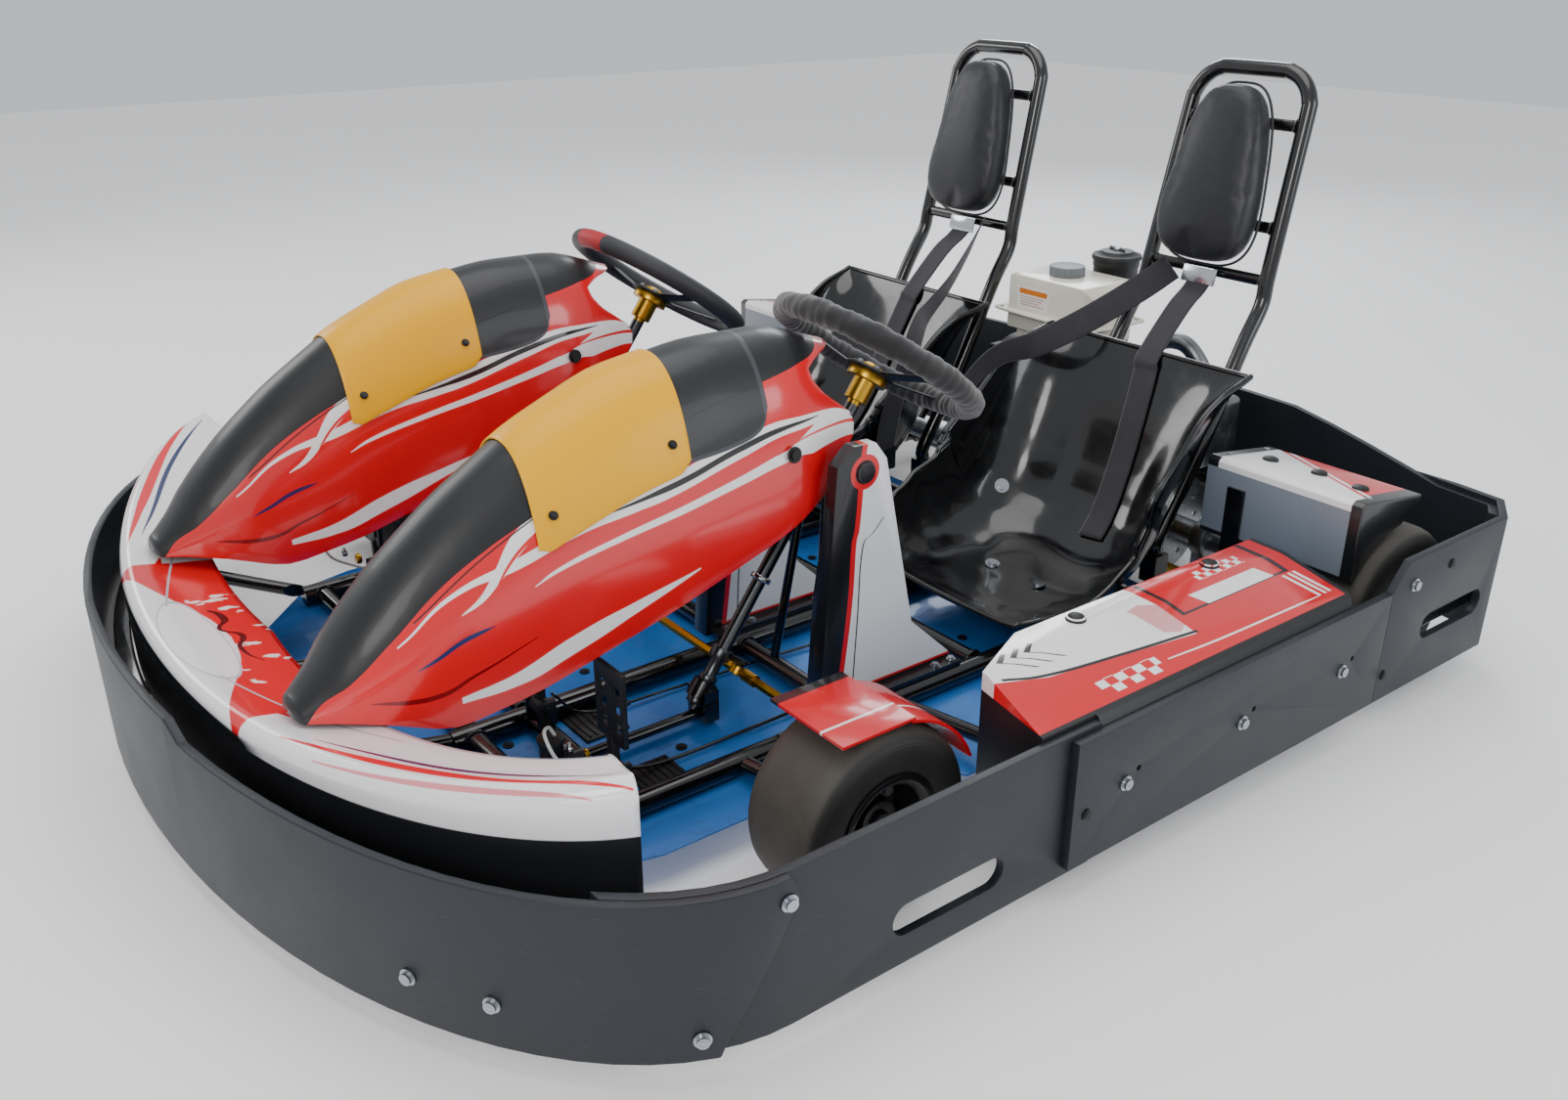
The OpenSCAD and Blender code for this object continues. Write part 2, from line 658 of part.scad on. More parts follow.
hoop_lean = 12.4;
kink_y = 785;
kink_z = 540;
hoop_len = 349;
hoop_top_hw = 113;
hoop_bend = 62;
bar_at = [20, 104, 266];
function up(x, l, out = 0) = [x, kink_y + l * sin(hoop_lean) + out * cos(hoop_lean), kink_z + l * cos(hoop_lean) - out * sin(hoop_lean)];
function hoop_half() = concat(
    [[hoop_foot / 2, hoop_foot_y, hoop_foot_z], [hoop_foot / 2, hoop_foot_y + 4, hoop_foot_z + 28], [hoop_foot / 2, 655, 290],
        [hoop_foot / 2 - 2, 740, 453], up(hoop_foot / 2 - 3, -22), up(hoop_foot / 2 - 5, 26),
        up(lerp(hoop_foot / 2, hoop_top_hw, 0.7), 150), up(hoop_top_hw, hoop_len - hoop_bend)],
    [for (a = [15:15:90]) up(hoop_top_hw - hoop_bend * (1 - cos(a)), hoop_len - hoop_bend * (1 - sin(a)))]);
module hoop() {
    half = hoop_half();
    path = concat(half, back(flip(half)));
    color("#101114") translate([seat_x, 0, 0]) union() {
        bent_tube(path, hoop_d, [0, 1, 0], 14);
        for (l = bar_at) sweep([up(-hoop_top_hw, l), up(hoop_top_hw, l)], box_of(20, 14), [0, 1, 0]);
        // bosses that the headrest is bolted to
        for (l = [bar_at[1], bar_at[2]], x = [-40, 40]) rod(up(x, l, -4), up(x, l, -hoop_d / 2), 8);
    }
}
module left_hoop() { hoop(); }
module right_hoop() { mirror([1, 0, 0]) hoop(); }

pad_low = 106;
pad_high = 66;
pad_half_h = 148;
pad_gap = 0.3;
module headrest() {
    outline = [for (a = [0:9:351]) let (l = pad_half_h * sign(sin(a)) * pow(abs(sin(a)), 0.62))
        [lerp(pad_low, pad_high, (l / pad_half_h + 1) / 2) * sign(cos(a)) * pow(abs(cos(a)), 0.62), l]];
    color("#1b1d20") translate(up(seat_x, 176, -hoop_d / 2 - pad_gap)) rotate([90 - hoop_lean, 0, 0])
        linear_extrude(pad_t) polygon(outline);
}
module left_headrest() { headrest(); }
module right_headrest() { mirror([1, 0, 0]) headrest(); }

belt_w = 46;
belt_t = 2;
belt_rest = -belt_t / 2 - 3.3;
// strap down the back of the seat, and strap across to the inner side
belt_down = concat([[0, 780.6, 562], [0, 778.6, 548], [2, 757, 528], [4, 718, 502]],
    [for (t = [0.98:-0.06:0.5]) seat_point(t, lerp(14, 2, (t - 0.5) / 0.48), belt_rest)]);
belt_across = [[-56, 768, 556], [-80, 716, 520], [-118, 628, 470], [-150, 546, 436], [-184, 490, 418],
    [-207, 448, 372], [-207.5, 424, 320], [-206, 408, 262], [-205, 398, 200]];
module seat_belt() {
    color("#2b2a30") translate([seat_x, 0, 0]) {
        sweep(belt_down, box_of(belt_w, belt_t), [0, 0.45, -0.9]);
        sweep(belt_across, box_of(belt_t, belt_w), [-0.05, 0.98, 0.2]);
    }
}
module left_seat_belt() { seat_belt(); }
module right_seat_belt() { mirror([1, 0, 0]) seat_belt(); }

// ---------- engine ----------

engine_base = 166;
tank_z = 392;
tank_h = 104;
tank_box = [-117, 712, 118, 845];
cap_at = [-10, 778];
module engine() {
    color("#c9c9c4") union() {
        block([-165, 722, engine_base - 12], [165, 880, engine_base]);
        for (x = [-150, 150]) block([x - 12, 730, rail_z + rail_r], [x + 12, 870, engine_base - 11]);
        block([-88, 730, engine_base - 1], [96, 868, 300]);
        block([-70, 738, 299], [70, 860, tank_z - 0.3]);
        block([-60, 850, 270], [62, 912, 336]);
        bar_x(90, 128, crank_y, crank_z, 40);
        bar_x(120, sprocket_x + 26, crank_y, crank_z, 12);
        bar_x(-150, -80, crank_y, crank_z, 78);
        bar_x(-162, -140, crank_y, crank_z, 56);
    }
}

module fuel_tank() {
    b = tank_box;
    c = 26;
    color("#e6e2cf") union() {
        intersection() {
            translate([0, 0, tank_z]) linear_extrude(tank_h) polygon([[b[0] + c, b[1]], [b[2] - c, b[1]], [b[2], b[1] + c],
                [b[2], b[3] - c], [b[2] - c, b[3]], [b[0] + c, b[3]], [b[0], b[3] - c], [b[0], b[1] + c]]);
            front_view([[b[0], tank_z], [b[2], tank_z], [b[2], tank_z + tank_h - 30], [b[2] - 30, tank_z + tank_h],
                [b[0] + 30, tank_z + tank_h], [b[0], tank_z + tank_h - 30]]);
        }
        translate([0, 0, tank_z + 30]) linear_extrude(5) polygon([[b[0] - 7, b[1] + 20], [b[0] + 20, b[1] - 7],
            [b[2] - 20, b[1] - 7], [b[2] + 7, b[1] + 20], [b[2] + 7, b[3] - 20], [b[2] - 20, b[3] + 7],
            [b[0] + 20, b[3] + 7], [b[0] - 7, b[3] - 20]]);
        translate([cap_at[0], cap_at[1], tank_z + tank_h - 1]) cylinder(r = 20, h = 12);
    }
}

cap_gap = 0.4;
module fuel_cap() {
    color("#6f7478") translate([cap_at[0], cap_at[1], tank_z + tank_h + cap_gap]) difference() {
        union() {
            cylinder(r = 32, h = 18);
            for (a = [0:30:330]) rotate([0, 0, a]) translate([31, 0, 0]) cylinder(r = 3, h = 17);
        }
        translate([0, 0, -1]) cylinder(r = 20 + cap_gap, h = 13);
    }
}

filter_at = [6, 898];
module air_filter() {
    color("#17181a") union() {
        translate([filter_at[0], filter_at[1], 424]) cylinder(r = 44, h = 92);
        translate([filter_at[0], filter_at[1], 515]) cylinder(r = 47, h = 8);
        translate([filter_at[0], filter_at[1], 522]) cylinder(r = 4, h = 14);
        translate([filter_at[0], filter_at[1], 336.3]) cylinder(r = 17, h = 90);
    }
}

module exhaust() {
    path = [[71.4, 800, 345], [100, 801, 347], [132, 803, 354], [160, 806, 372], [182, 811, 396], [210, 815, 412],
        [246, 820, 410], [276, 826, 380], [289, 832, 345], [290, 834, 320]];
    color("#8c9094") union() {
        bent_tube(path, 30, [0, 1, 0], 12);
        block([244, 782, 204], [334, 884, 326]);
        block([284, rear_cross_y - 6, rail_z + cross_r + seat_gap], [298, rear_cross_y + 6, 206]);
    }
}

// ---------- axle and drive ----------

bearing_r = 34;
module axle_bearings() {
    color("#9a9da1") both() for (x = [inner_rail_x, rail_x]) difference() {
        union() {
            bar_x(x - 13, x + 13, rear_axle_y, rear_axle_z, bearing_r);
            block([x - 13, rear_axle_y - 22, rail_z + rail_r], [x + 13, rear_axle_y + 22, rear_axle_z - 20]);
        }
        bar_x(x - 20, x + 20, rear_axle_y, rear_axle_z, axle_d / 2 + bore_gap);
    }
}

hub_in = 56;
module rear_axle() {
    color("#b4b7ba") {
        bar_x(-rear_track - 10, rear_track + 10, rear_axle_y, rear_axle_z, axle_d / 2);
        both() {
            ring_x(rear_track - hub_in - 44, rear_track - hub_in, axle_d / 2, 33, rear_axle_y, rear_axle_z);
            ring_x(rear_track - hub_in, rear_track - hub_in + 8, axle_d / 2, 50, rear_axle_y, rear_axle_z);
        }
        ring_x(sprocket_x - 32, sprocket_x - 4, axle_d / 2, 34, rear_axle_y, rear_axle_z);
        ring_x(disc_x - 34, disc_x - 3, axle_d / 2, 34, rear_axle_y, rear_axle_z);
    }
}

tooth_h = 3;
module sprocket(teeth, r, bore) {
    steps = teeth * 4;
    outline = [for (i = [0:steps - 1]) let (q = i % 4, a = 360 * i / steps) (r + (q < 2 ? tooth_h : -4)) * [cos(a), sin(a)]];
    rotate([90, 0, 90]) translate([0, 0, -3]) linear_extrude(6) difference() {
        polygon(outline);
        circle(r = bore);
    }
}
module axle_sprocket() {
    color("#c7a24a") translate([sprocket_x, rear_axle_y, rear_axle_z]) difference() {
        sprocket(axle_teeth, sprocket_r, axle_d / 2);
        for (a = [0:60:300]) rotate([a, 0, 0]) translate([0, 0, 58]) rotate([0, 90, 0]) cylinder(r = 12, h = 20, center = true);
    }
}
module clutch_sprocket() {
    color("#7d8185") translate([sprocket_x, crank_y, crank_z]) {
        difference() {
            union() {
                sprocket(clutch_teeth, clutch_r, 12 + bore_gap);
                bar_x(3, 24, 0, 0, 38);
            }
            bar_x(-5, 30, 0, 0, 12 + bore_gap);
        }
    }
}

// outline round both sprockets at the distance o outside their pitch lines
function chain_line(o) =
    let (ra = sprocket_r + o, rb = clutch_r + o, v = [crank_y - rear_axle_y, crank_z - rear_axle_z],
        way = atan2(v[1], v[0]), b = acos((ra - rb) / norm(v)))
    concat([for (i = [0:32]) let (a = lerp(way + b, way + 360 - b, i / 32)) [rear_axle_y, rear_axle_z] + ra * [cos(a), sin(a)]],
        [for (i = [0:16]) let (a = lerp(way - b, way + b, i / 16)) [crank_y, crank_z] + rb * [cos(a), sin(a)]]);
module drive_chain() {
    color("#5c5f62") translate([sprocket_x - 4.5, 0, 0]) rotate([90, 0, 90]) linear_extrude(9) difference() {
        polygon(chain_line(tooth_h + 6.5));
        polygon(chain_line(tooth_h + 0.5));
    }
}

module brake_disc() {
    color("#a9adb0") difference() {
        ring_x(disc_x - 3, disc_x + 3, axle_d / 2, disc_d / 2, rear_axle_y, rear_axle_z);
        for (a = [0:30:330]) translate([disc_x, rear_axle_y, rear_axle_z]) rotate([a, 0, 0]) translate([-5, 0, 72]) rotate([0, 90, 0]) cylinder(r = 5, h = 10);
    }
}

caliper_turn = 50;
module brake_caliper() {
    foot_y = rear_axle_y - 85;
    color("#c9a227") {
        translate([disc_x, rear_axle_y, rear_axle_z]) rotate([caliper_turn, 0, 0]) {
            for (e = [-1, 1]) block([min(e * 4, e * 24), -30, disc_d / 2 - 36], [max(e * 4, e * 24), 30, disc_d / 2 + 16]);
            block([-24, -30, disc_d / 2 + 3], [24, 30, disc_d / 2 + 16]);
        }
        block([disc_x + 23, foot_y, rail_z + rail_r + 0.3], [disc_x + 31, foot_y + 34, rear_axle_z + 60]);
        block([disc_x + 23, foot_y, rail_z + rail_r + 0.3], [rail_x + 8, foot_y + 34, rail_z + rail_r + 7]);
    }
}

// ---------- rims and tyres, drawn about the X axis ----------

module spun_x(x, y, z, outline) { translate([x, y, z]) rotate([0, 90, 0]) rotate_extrude($fn = 72) polygon(outline); }
bead_r = rim_d / 2;
function tyre_outline(r, w) = let (h = w / 2)
    [[bead_r + 0.2, -h + 13], [bead_r + 9, -h + 3], [r - 24, -h], [r - 9, -h + 6], [r - 2, -h + 17], [r, -h + 30],
     [r, h - 30], [r - 2, h - 17], [r - 9, h - 6], [r - 24, h], [bead_r + 9, h - 3], [bead_r + 0.2, h - 13]];
module front_tyre(s) { spun_x(s * front_track, front_axle_y, front_axle_z, tyre_outline(front_tyre_d / 2, front_tyre_w)); }
module front_rim(s) {
    spun_x(s * front_track, front_axle_y, front_axle_z, rim_body(front_tyre_w));
    ring_x(min(s * (front_track - 26), s * (front_track + 42)), max(s * (front_track - 26), s * (front_track + 42)),
        stub_d / 2 + bore_gap, 26, front_axle_y, front_axle_z);
    ring_x(min(s * (front_track + 4), s * (front_track + 10)), max(s * (front_track + 4), s * (front_track + 10)),
        20, bead_r - 8, front_axle_y, front_axle_z);
}
// barrel of a rim with its two flanges, just clear of the tyre's beads
function rim_body(w) = let (h = w / 2 - 12.4, r = bead_r)
    [[r - 10, -h - 3], [r - 1, -h - 11.6], [r + 7, -h - 11.6], [r + 7, -h - 8.6], [r, -h], [r - 6, -h + 14],
     [r - 6, h - 14], [r, h], [r + 7, h + 8.6], [r + 7, h + 11.6], [r - 1, h + 11.6], [r - 10, h + 3],
     [r - 12, h - 14], [r - 12, -h + 14]];
module left_front_tyre() { color("#3d3c3a") front_tyre(1); }
module right_front_tyre() { color("#3d3c3a") front_tyre(-1); }
module left_front_rim() { color("#1a1a1b") front_rim(1); }
module right_front_rim() { color("#1a1a1b") front_rim(-1); }
module rear_tyres() {
    color("#3d3c3a") both() spun_x(rear_track, rear_axle_y, rear_axle_z, tyre_outline(rear_tyre_d / 2, rear_tyre_w));
}
module rear_rims() {
    face = rear_track - hub_in + 8;
    color("#1a1a1b") both() {
        spun_x(rear_track, rear_axle_y, rear_axle_z, rim_body(rear_tyre_w));
        ring_x(face, face + 6, axle_d / 2 + 1, bead_r - 8, rear_axle_y, rear_axle_z);
    }
}

// ---------- steering ----------

ring_r = wheel_d / 2 - grip_d / 2;
ring_up = 26;
module steering_wheel(s) {
    on_column(s) {
        translate([0, 0, ring_up]) rotate_extrude($fn = 72) translate([ring_r, 0]) circle(r = grip_d / 2, $fn = 24);
        cylinder(r = 36, h = 5);
        for (a = [0, 90, 180]) rotate([0, 0, a]) rod([29, 0, 7], [ring_r, 0, ring_up], 6);
    }
}
module left_steering_wheel() { color("#17171a") steering_wheel(1); }
module right_steering_wheel() { color("#2a2b2e") steering_wheel(-1); }

pin_drop = 13;
lever_z = link_z + pitman_r * sin(column_tilt) + pin_drop * cos(column_tilt);
lever_at = -column_at(lever_z);
rod_y = hub_y - (hub_z - lever_z) * tan(column_tilt) + pitman_r * cos(column_tilt) - pin_drop * sin(column_tilt);
module steering_shaft(s) {
    foot = low_bearing + bearing_l / 2 + 9.5;
    on_column(s) {
        translate([0, 0, -foot]) cylinder(r = column_d / 2, h = foot - 10);
        translate([0, 0, -44]) cylinder(r = 17, h = 34);
        translate([0, 0, -12]) cylinder(r = 30, h = 12);
        translate([0, 0, lever_at]) {
            translate([-8, 0, -4]) cube([16, pitman_r, 8]);
            translate([0, pitman_r, -4]) cylinder(r = 9, h = 8);
            translate([0, 0, -8]) cylinder(r = 16, h = 16);
        }
        translate([0, pitman_r, lever_at - pin_drop - 8]) cylinder(r = pin_r, h = pin_drop + 5);
        for (at = [top_bearing, low_bearing], e = [-1, 1])
            translate([0, 0, -at + e * (bearing_l / 2 + 5) - 4]) cylinder(r = collar_r, h = 8);
    }
}
module left_steering_shaft() { color("#c29a3a") steering_shaft(1); }
module right_steering_shaft() { color("#c29a3a") steering_shaft(-1); }

module hex_bar(x0, x1) { translate([x0, rod_y, link_z]) rotate([0, 90, 0]) cylinder(r = tie_d / 2, h = x1 - x0, $fn = 6); }
open_gap = 1.2;
module centre_link() {
    color("#d1a12a") difference() {
        union() {
            hex_bar(-seat_x + 8, seat_x - 8);
            for (s = [-1, 1]) on_column(s) translate([0, pitman_r, lever_at - pin_drop - 6]) cylinder(r = 12, h = 12);
        }
        on_column(1) translate([0, pitman_r, lever_at - pin_drop - 10]) cylinder(r = pin_r + bore_gap, h = 20);
        on_column(-1) translate([0, pitman_r, lever_at - pin_drop - 10]) cylinder(r = pin_r + open_gap, h = 20);
    }
}

arm_end_x = king_x - 4;
tie_gap = 17;
module tie_rod() {
    difference() {
        union() {
            hex_bar(seat_x + tie_gap, arm_end_x - 6);
            translate([arm_end_x, rod_y, link_z - 6]) cylinder(r = 12, h = 12);
            bar_x(seat_x + tie_gap, seat_x + tie_gap + 26, rod_y, link_z, tie_d / 2 + 2);
        }
        translate([arm_end_x, rod_y, link_z - 10]) cylinder(r = pin_r + bore_gap, h = 20);
    }
}
module left_tie_rod() { color("#d1a12a") tie_rod(); }
module right_tie_rod() { color("#d1a12a") mirror([1, 0, 0]) tie_rod(); }

module knuckle() {
    translate([king_x, front_axle_y, front_axle_z]) {
        translate([0, 0, -fork_gap / 2 + 0.5]) cylinder(r = 14, h = fork_gap - 1);
        translate([0, 0, -fork_gap / 2 - fork_t - 3]) cylinder(r = king_pin_r, h = fork_gap + 2 * fork_t + 6);
        for (z = [-fork_gap / 2 - fork_t - 7, fork_gap / 2 + fork_t + 1]) translate([0, 0, z]) cylinder(r = 12, h = 6, $fn = 6);
    }
    bar_x(king_x, front_track + 48, front_axle_y, front_axle_z, stub_d / 2);
    bar_x(front_track + 42.5, front_track + 50, front_axle_y, front_axle_z, 14);
    block([king_x - 12, front_axle_y, link_z + 9], [king_x + 4, rod_y, link_z + 17]);
    translate([arm_end_x, rod_y, link_z + 9]) cylinder(r = 10, h = 8);
    translate([arm_end_x, rod_y, link_z - 9]) cylinder(r = pin_r, h = 20);
}
module left_knuckle() { color("#3a3b3d") knuckle(); }
module right_knuckle() { color("#3a3b3d") mirror([1, 0, 0]) knuckle(); }

fender_gap = 8;
fender_x = front_track - front_tyre_w / 2 - 8;
module fender() {
    top = front_tyre_d + fender_gap;
    difference() {
        union() {
            block([fender_x, front_axle_y - 14, front_axle_z - 14], [fender_x + 4, front_axle_y + 14, top + 1]);
            block([fender_x, front_axle_y - 74, top], [fender_x + 134, front_axle_y + 34, top + 4]);
            translate([fender_x + 20, 0, 0]) intersection() {
                ring_x(0, 114, front_tyre_d / 2 + fender_gap, front_tyre_d / 2 + fender_gap + 4, front_axle_y, front_axle_z);
                block([0, front_axle_y + 30, front_axle_z + 50], [big, 0, big]);
            }
        }
        bar_x(0, big, front_axle_y, front_axle_z, stub_d / 2 + 0.1);
    }
}
module left_fender() { color("#d5121e") fender(); }
module right_fender() { color("#d5121e") mirror([1, 0, 0]) fender(); }

// ---------- pedals ----------

pedal_z = 100;
pedal_pin = 6;
foot_gap = 100;
function pedal_x(s, e) = s * seat_x + e * foot_gap;
module pedal_stand(x) {
    for (e = [-1, 1]) difference() {
        block([x + e * 17 - 3, pedal_y - 14, rail_z + cross_r - 4], [x + e * 17 + 3, pedal_y + 14, pedal_z + 12]);
        bar_x(x - 30, x + 30, pedal_y, rail_z, cross_r + 0.1);
    }
    bar_x(x - 24, x + 24, pedal_y, pedal_z, pedal_pin);
}
module pedal_stands() {
    color("#2a2b2d") for (s = [-1, 1]) {
        for (e = [-1, 1]) pedal_stand(pedal_x(s, e));
        master_cylinder(pedal_x(s, 1) - 44);
    }
}
module master_cylinder(x) {
    bar_y(-556, -492, x, 104, 13);
    translate([x, -535, 110]) cylinder(r = 16, h = 34);
    translate([x, -535, 143]) cylinder(r = 18, h = 6);
    block([x - 12, -570, rail_z + cross_r + 0.2], [x + 12, -500, 98]);
}

pad_w = 68;
pad_l = 106;
module pedal(x, wide) {
    translate([x, pedal_y, pedal_z]) difference() {
        union() {
            bar_x(-13.5, 13.5, 0, 0, 13);
            block([-6, -6, 0], [6, 6, 52]);
            block([-wide / 2, -3, 44], [wide / 2, 4, 44 + pad_l]);
        }
        bar_x(-20, 20, 0, 0, pedal_pin + bore_gap);
        for (z = [58, 84, 110], e = [-1, 1]) block([min(e * 7, e * (wide / 2 - 7)), -10, z], [max(e * 7, e * (wide / 2 - 7)), 10, z + 18]);
    }
}
module left_accelerator() { color("#1b1c1e") pedal(pedal_x(1, -1), pad_w - 14); }
module right_accelerator() { color("#1b1c1e") pedal(pedal_x(-1, -1), pad_w - 14); }
module left_brake_pedal() { color("#1b1c1e") pedal(pedal_x(1, 1), pad_w); }
module right_brake_pedal() { color("#1b1c1e") pedal(pedal_x(-1, 1), pad_w); }

frame_rails();
frame_crossbars();
chassis_frame();
bumper_ring();
floor_pan();
front_bumper_strip();
corner_strips();
side_rear_strips();
bumper_screws();
nose_panel();
left_fairing();
right_fairing();
number_plates();
left_side_pod();
right_side_pod();
rear_covers();
left_seat();
right_seat();
left_hoop();
right_hoop();
left_headrest();
right_headrest();
left_seat_belt();
right_seat_belt();
left_leg_guards();
right_leg_guards();
engine();
air_filter();
fuel_tank();
exhaust();
axle_bearings();
pedal_stands();
brake_caliper();
drive_chain();
left_steering_wheel();
right_steering_wheel();
left_steering_shaft();
right_steering_shaft();
centre_link();
left_tie_rod();
right_tie_rod();
left_knuckle();
right_knuckle();
left_fender();
right_fender();
left_front_rim();
right_front_rim();
left_front_tyre();
right_front_tyre();
rear_axle();
axle_sprocket();
brake_disc();
rear_rims();
rear_tyres();
clutch_sprocket();
left_accelerator();
right_accelerator();
left_brake_pedal();
right_brake_pedal();
fuel_cap();
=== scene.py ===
# Two-seat rental go kart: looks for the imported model
import bisect
import math
import random

import bmesh
import bpy
from mathutils import Matrix, Vector
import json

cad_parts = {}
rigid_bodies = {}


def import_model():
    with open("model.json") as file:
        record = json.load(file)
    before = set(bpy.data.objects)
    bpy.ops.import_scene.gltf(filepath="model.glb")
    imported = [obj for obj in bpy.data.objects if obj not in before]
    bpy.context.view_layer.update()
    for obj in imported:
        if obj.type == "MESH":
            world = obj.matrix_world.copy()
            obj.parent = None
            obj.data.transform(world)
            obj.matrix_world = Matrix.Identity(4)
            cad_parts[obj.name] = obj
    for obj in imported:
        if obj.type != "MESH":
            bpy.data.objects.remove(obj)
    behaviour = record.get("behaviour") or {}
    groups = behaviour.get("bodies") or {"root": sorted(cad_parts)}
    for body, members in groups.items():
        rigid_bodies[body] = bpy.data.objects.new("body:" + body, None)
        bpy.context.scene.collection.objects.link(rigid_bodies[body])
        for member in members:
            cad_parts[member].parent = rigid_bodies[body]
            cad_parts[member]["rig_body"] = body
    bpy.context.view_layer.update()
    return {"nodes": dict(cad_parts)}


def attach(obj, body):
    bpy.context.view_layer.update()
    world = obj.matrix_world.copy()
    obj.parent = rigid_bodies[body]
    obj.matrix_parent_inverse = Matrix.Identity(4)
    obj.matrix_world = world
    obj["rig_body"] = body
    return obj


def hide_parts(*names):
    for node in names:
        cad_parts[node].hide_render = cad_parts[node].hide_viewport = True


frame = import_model()
nodes = frame["nodes"]
mm = 0.001
print("frame loaded")

# ---- camera, floor and lights ----
studio = {
    "cameraAt": (1.718, -1.206, 1.081),
    "azimuth": 52.75,
    "elevation": 24.11,
    "lens": 31.55,
    "world": 0.7,
}
# each light: name, place, size, power, colour
lamps = [
    ("topSoft", (0.1, 0.0, 3.4), 3.2, 58, (1, 1, 1)),
    ("frontKey", (2.4, -3.0, 2.3), 1.6, 48, (1, 0.985, 0.96)),
    ("sideFill", (4.2, 1.6, 1.7), 2.0, 40, (0.9, 0.95, 1)),
    ("backRim", (-2.4, 3.4, 2.6), 1.8, 62, (0.93, 0.96, 1)),
    ("farFill", (-3.4, -1.4, 2.0), 1.6, 28, (1, 1, 1)),
]


def makeStudio():
    scene = bpy.context.scene
    cam = bpy.data.objects.new("camera", bpy.data.cameras.new("camera"))
    scene.collection.objects.link(cam)
    cam.location = studio["cameraAt"]
    turn = math.radians(studio["azimuth"])
    cam.rotation_euler = (math.radians(90 - studio["elevation"]), 0, turn)
    cam.data.sensor_width = 36
    cam.data.lens = studio["lens"]
    cam.data.clip_start = 0.05
    scene.camera = cam
    for name, place, size, power, colour in lamps:
        light = bpy.data.lights.new(name, "AREA")
        light.shape = "DISK"
        light.size = size
        light.energy = power
        light.color = colour
        lamp = bpy.data.objects.new(name, light)
        scene.collection.objects.link(lamp)
        lamp.location = place
        aim = Vector((0, 0, 0.25)) - lamp.location
        lamp.rotation_euler = aim.to_track_quat("-Z", "Y").to_euler()
    world = bpy.data.worlds.new("studio")
    scene.world = world
    world.use_nodes = True
    background = world.node_tree.nodes["Background"]
    background.inputs["Color"].default_value = (0.95, 0.97, 1, 1)
    background.inputs["Strength"].default_value = studio["world"]
    mesh = bpy.data.meshes.new("floor")
    mesh.from_pydata([(-9, -9, 0), (9, -9, 0), (9, 9, 0), (-9, 9, 0)], [], [(0, 1, 2, 3)])
    ground = bpy.data.objects.new("floor", mesh)
    scene.collection.objects.link(ground)
    return ground


# ---- shader maths ----
def rgb(code):
    # display colour code to linear values
    parts = [int(code[i:i + 2], 16) / 255 for i in (1, 3, 5)]
    return tuple(((v + 0.055) / 1.055) ** 2.4 if v > 0.04045 else v / 12.92 for v in parts) + (1,)


class Wire:
    # one number socket that can be used in sums
    def __init__(self, paint, socket):
        self.paint = paint
        self.socket = socket

    def calc(self, operation, first, second=None, clamp=False):
        sockets = {0: first} if second is None else {0: first, 1: second}
        settings = {"operation": operation, "use_clamp": clamp}
        return Wire(self.paint, self.paint.add("ShaderNodeMath", settings, sockets).outputs[0])

    def __add__(self, other):
        return self.calc("ADD", self, other)

    def __radd__(self, other):
        return self.calc("ADD", other, self)

    def __sub__(self, other):
        return self.calc("SUBTRACT", self, other)

    def __rsub__(self, other):
        return self.calc("SUBTRACT", other, self)

    def __mul__(self, other):
        return self.calc("MULTIPLY", self, other)

    def __rmul__(self, other):
        return self.calc("MULTIPLY", other, self)

    def __truediv__(self, other):
        return self.calc("DIVIDE", self, other)

    def wave(self):
        return self.calc("SINE", self)

    def __pow__(self, other):
        return self.calc("POWER", self, other)

    def __abs__(self):
        return self.calc("ABSOLUTE", self)

    def floor(self):
        return self.calc("FLOOR", self)

    def least(self, other):
        return self.calc("MINIMUM", self, other)

    def most(self, other):
        return self.calc("MAXIMUM", self, other)

    def above(self, edge, soft=0.5):
        # 0 below the edge and 1 above it, soft is the width of the step
        if isinstance(edge, Wire):
            return (self - edge).above(0, soft)
        node = self.paint.add("ShaderNodeMath", {"operation": "MULTIPLY_ADD", "use_clamp": True},
                              {0: self, 1: 1 / soft, 2: 0.5 - edge / soft})
        return Wire(self.paint, node.outputs[0])

    def below(self, edge, soft=0.5):
        return 1 - self.above(edge, soft)

    def between(self, low, high, soft=0.5):
        return self.above(low, soft) * self.below(high, soft)


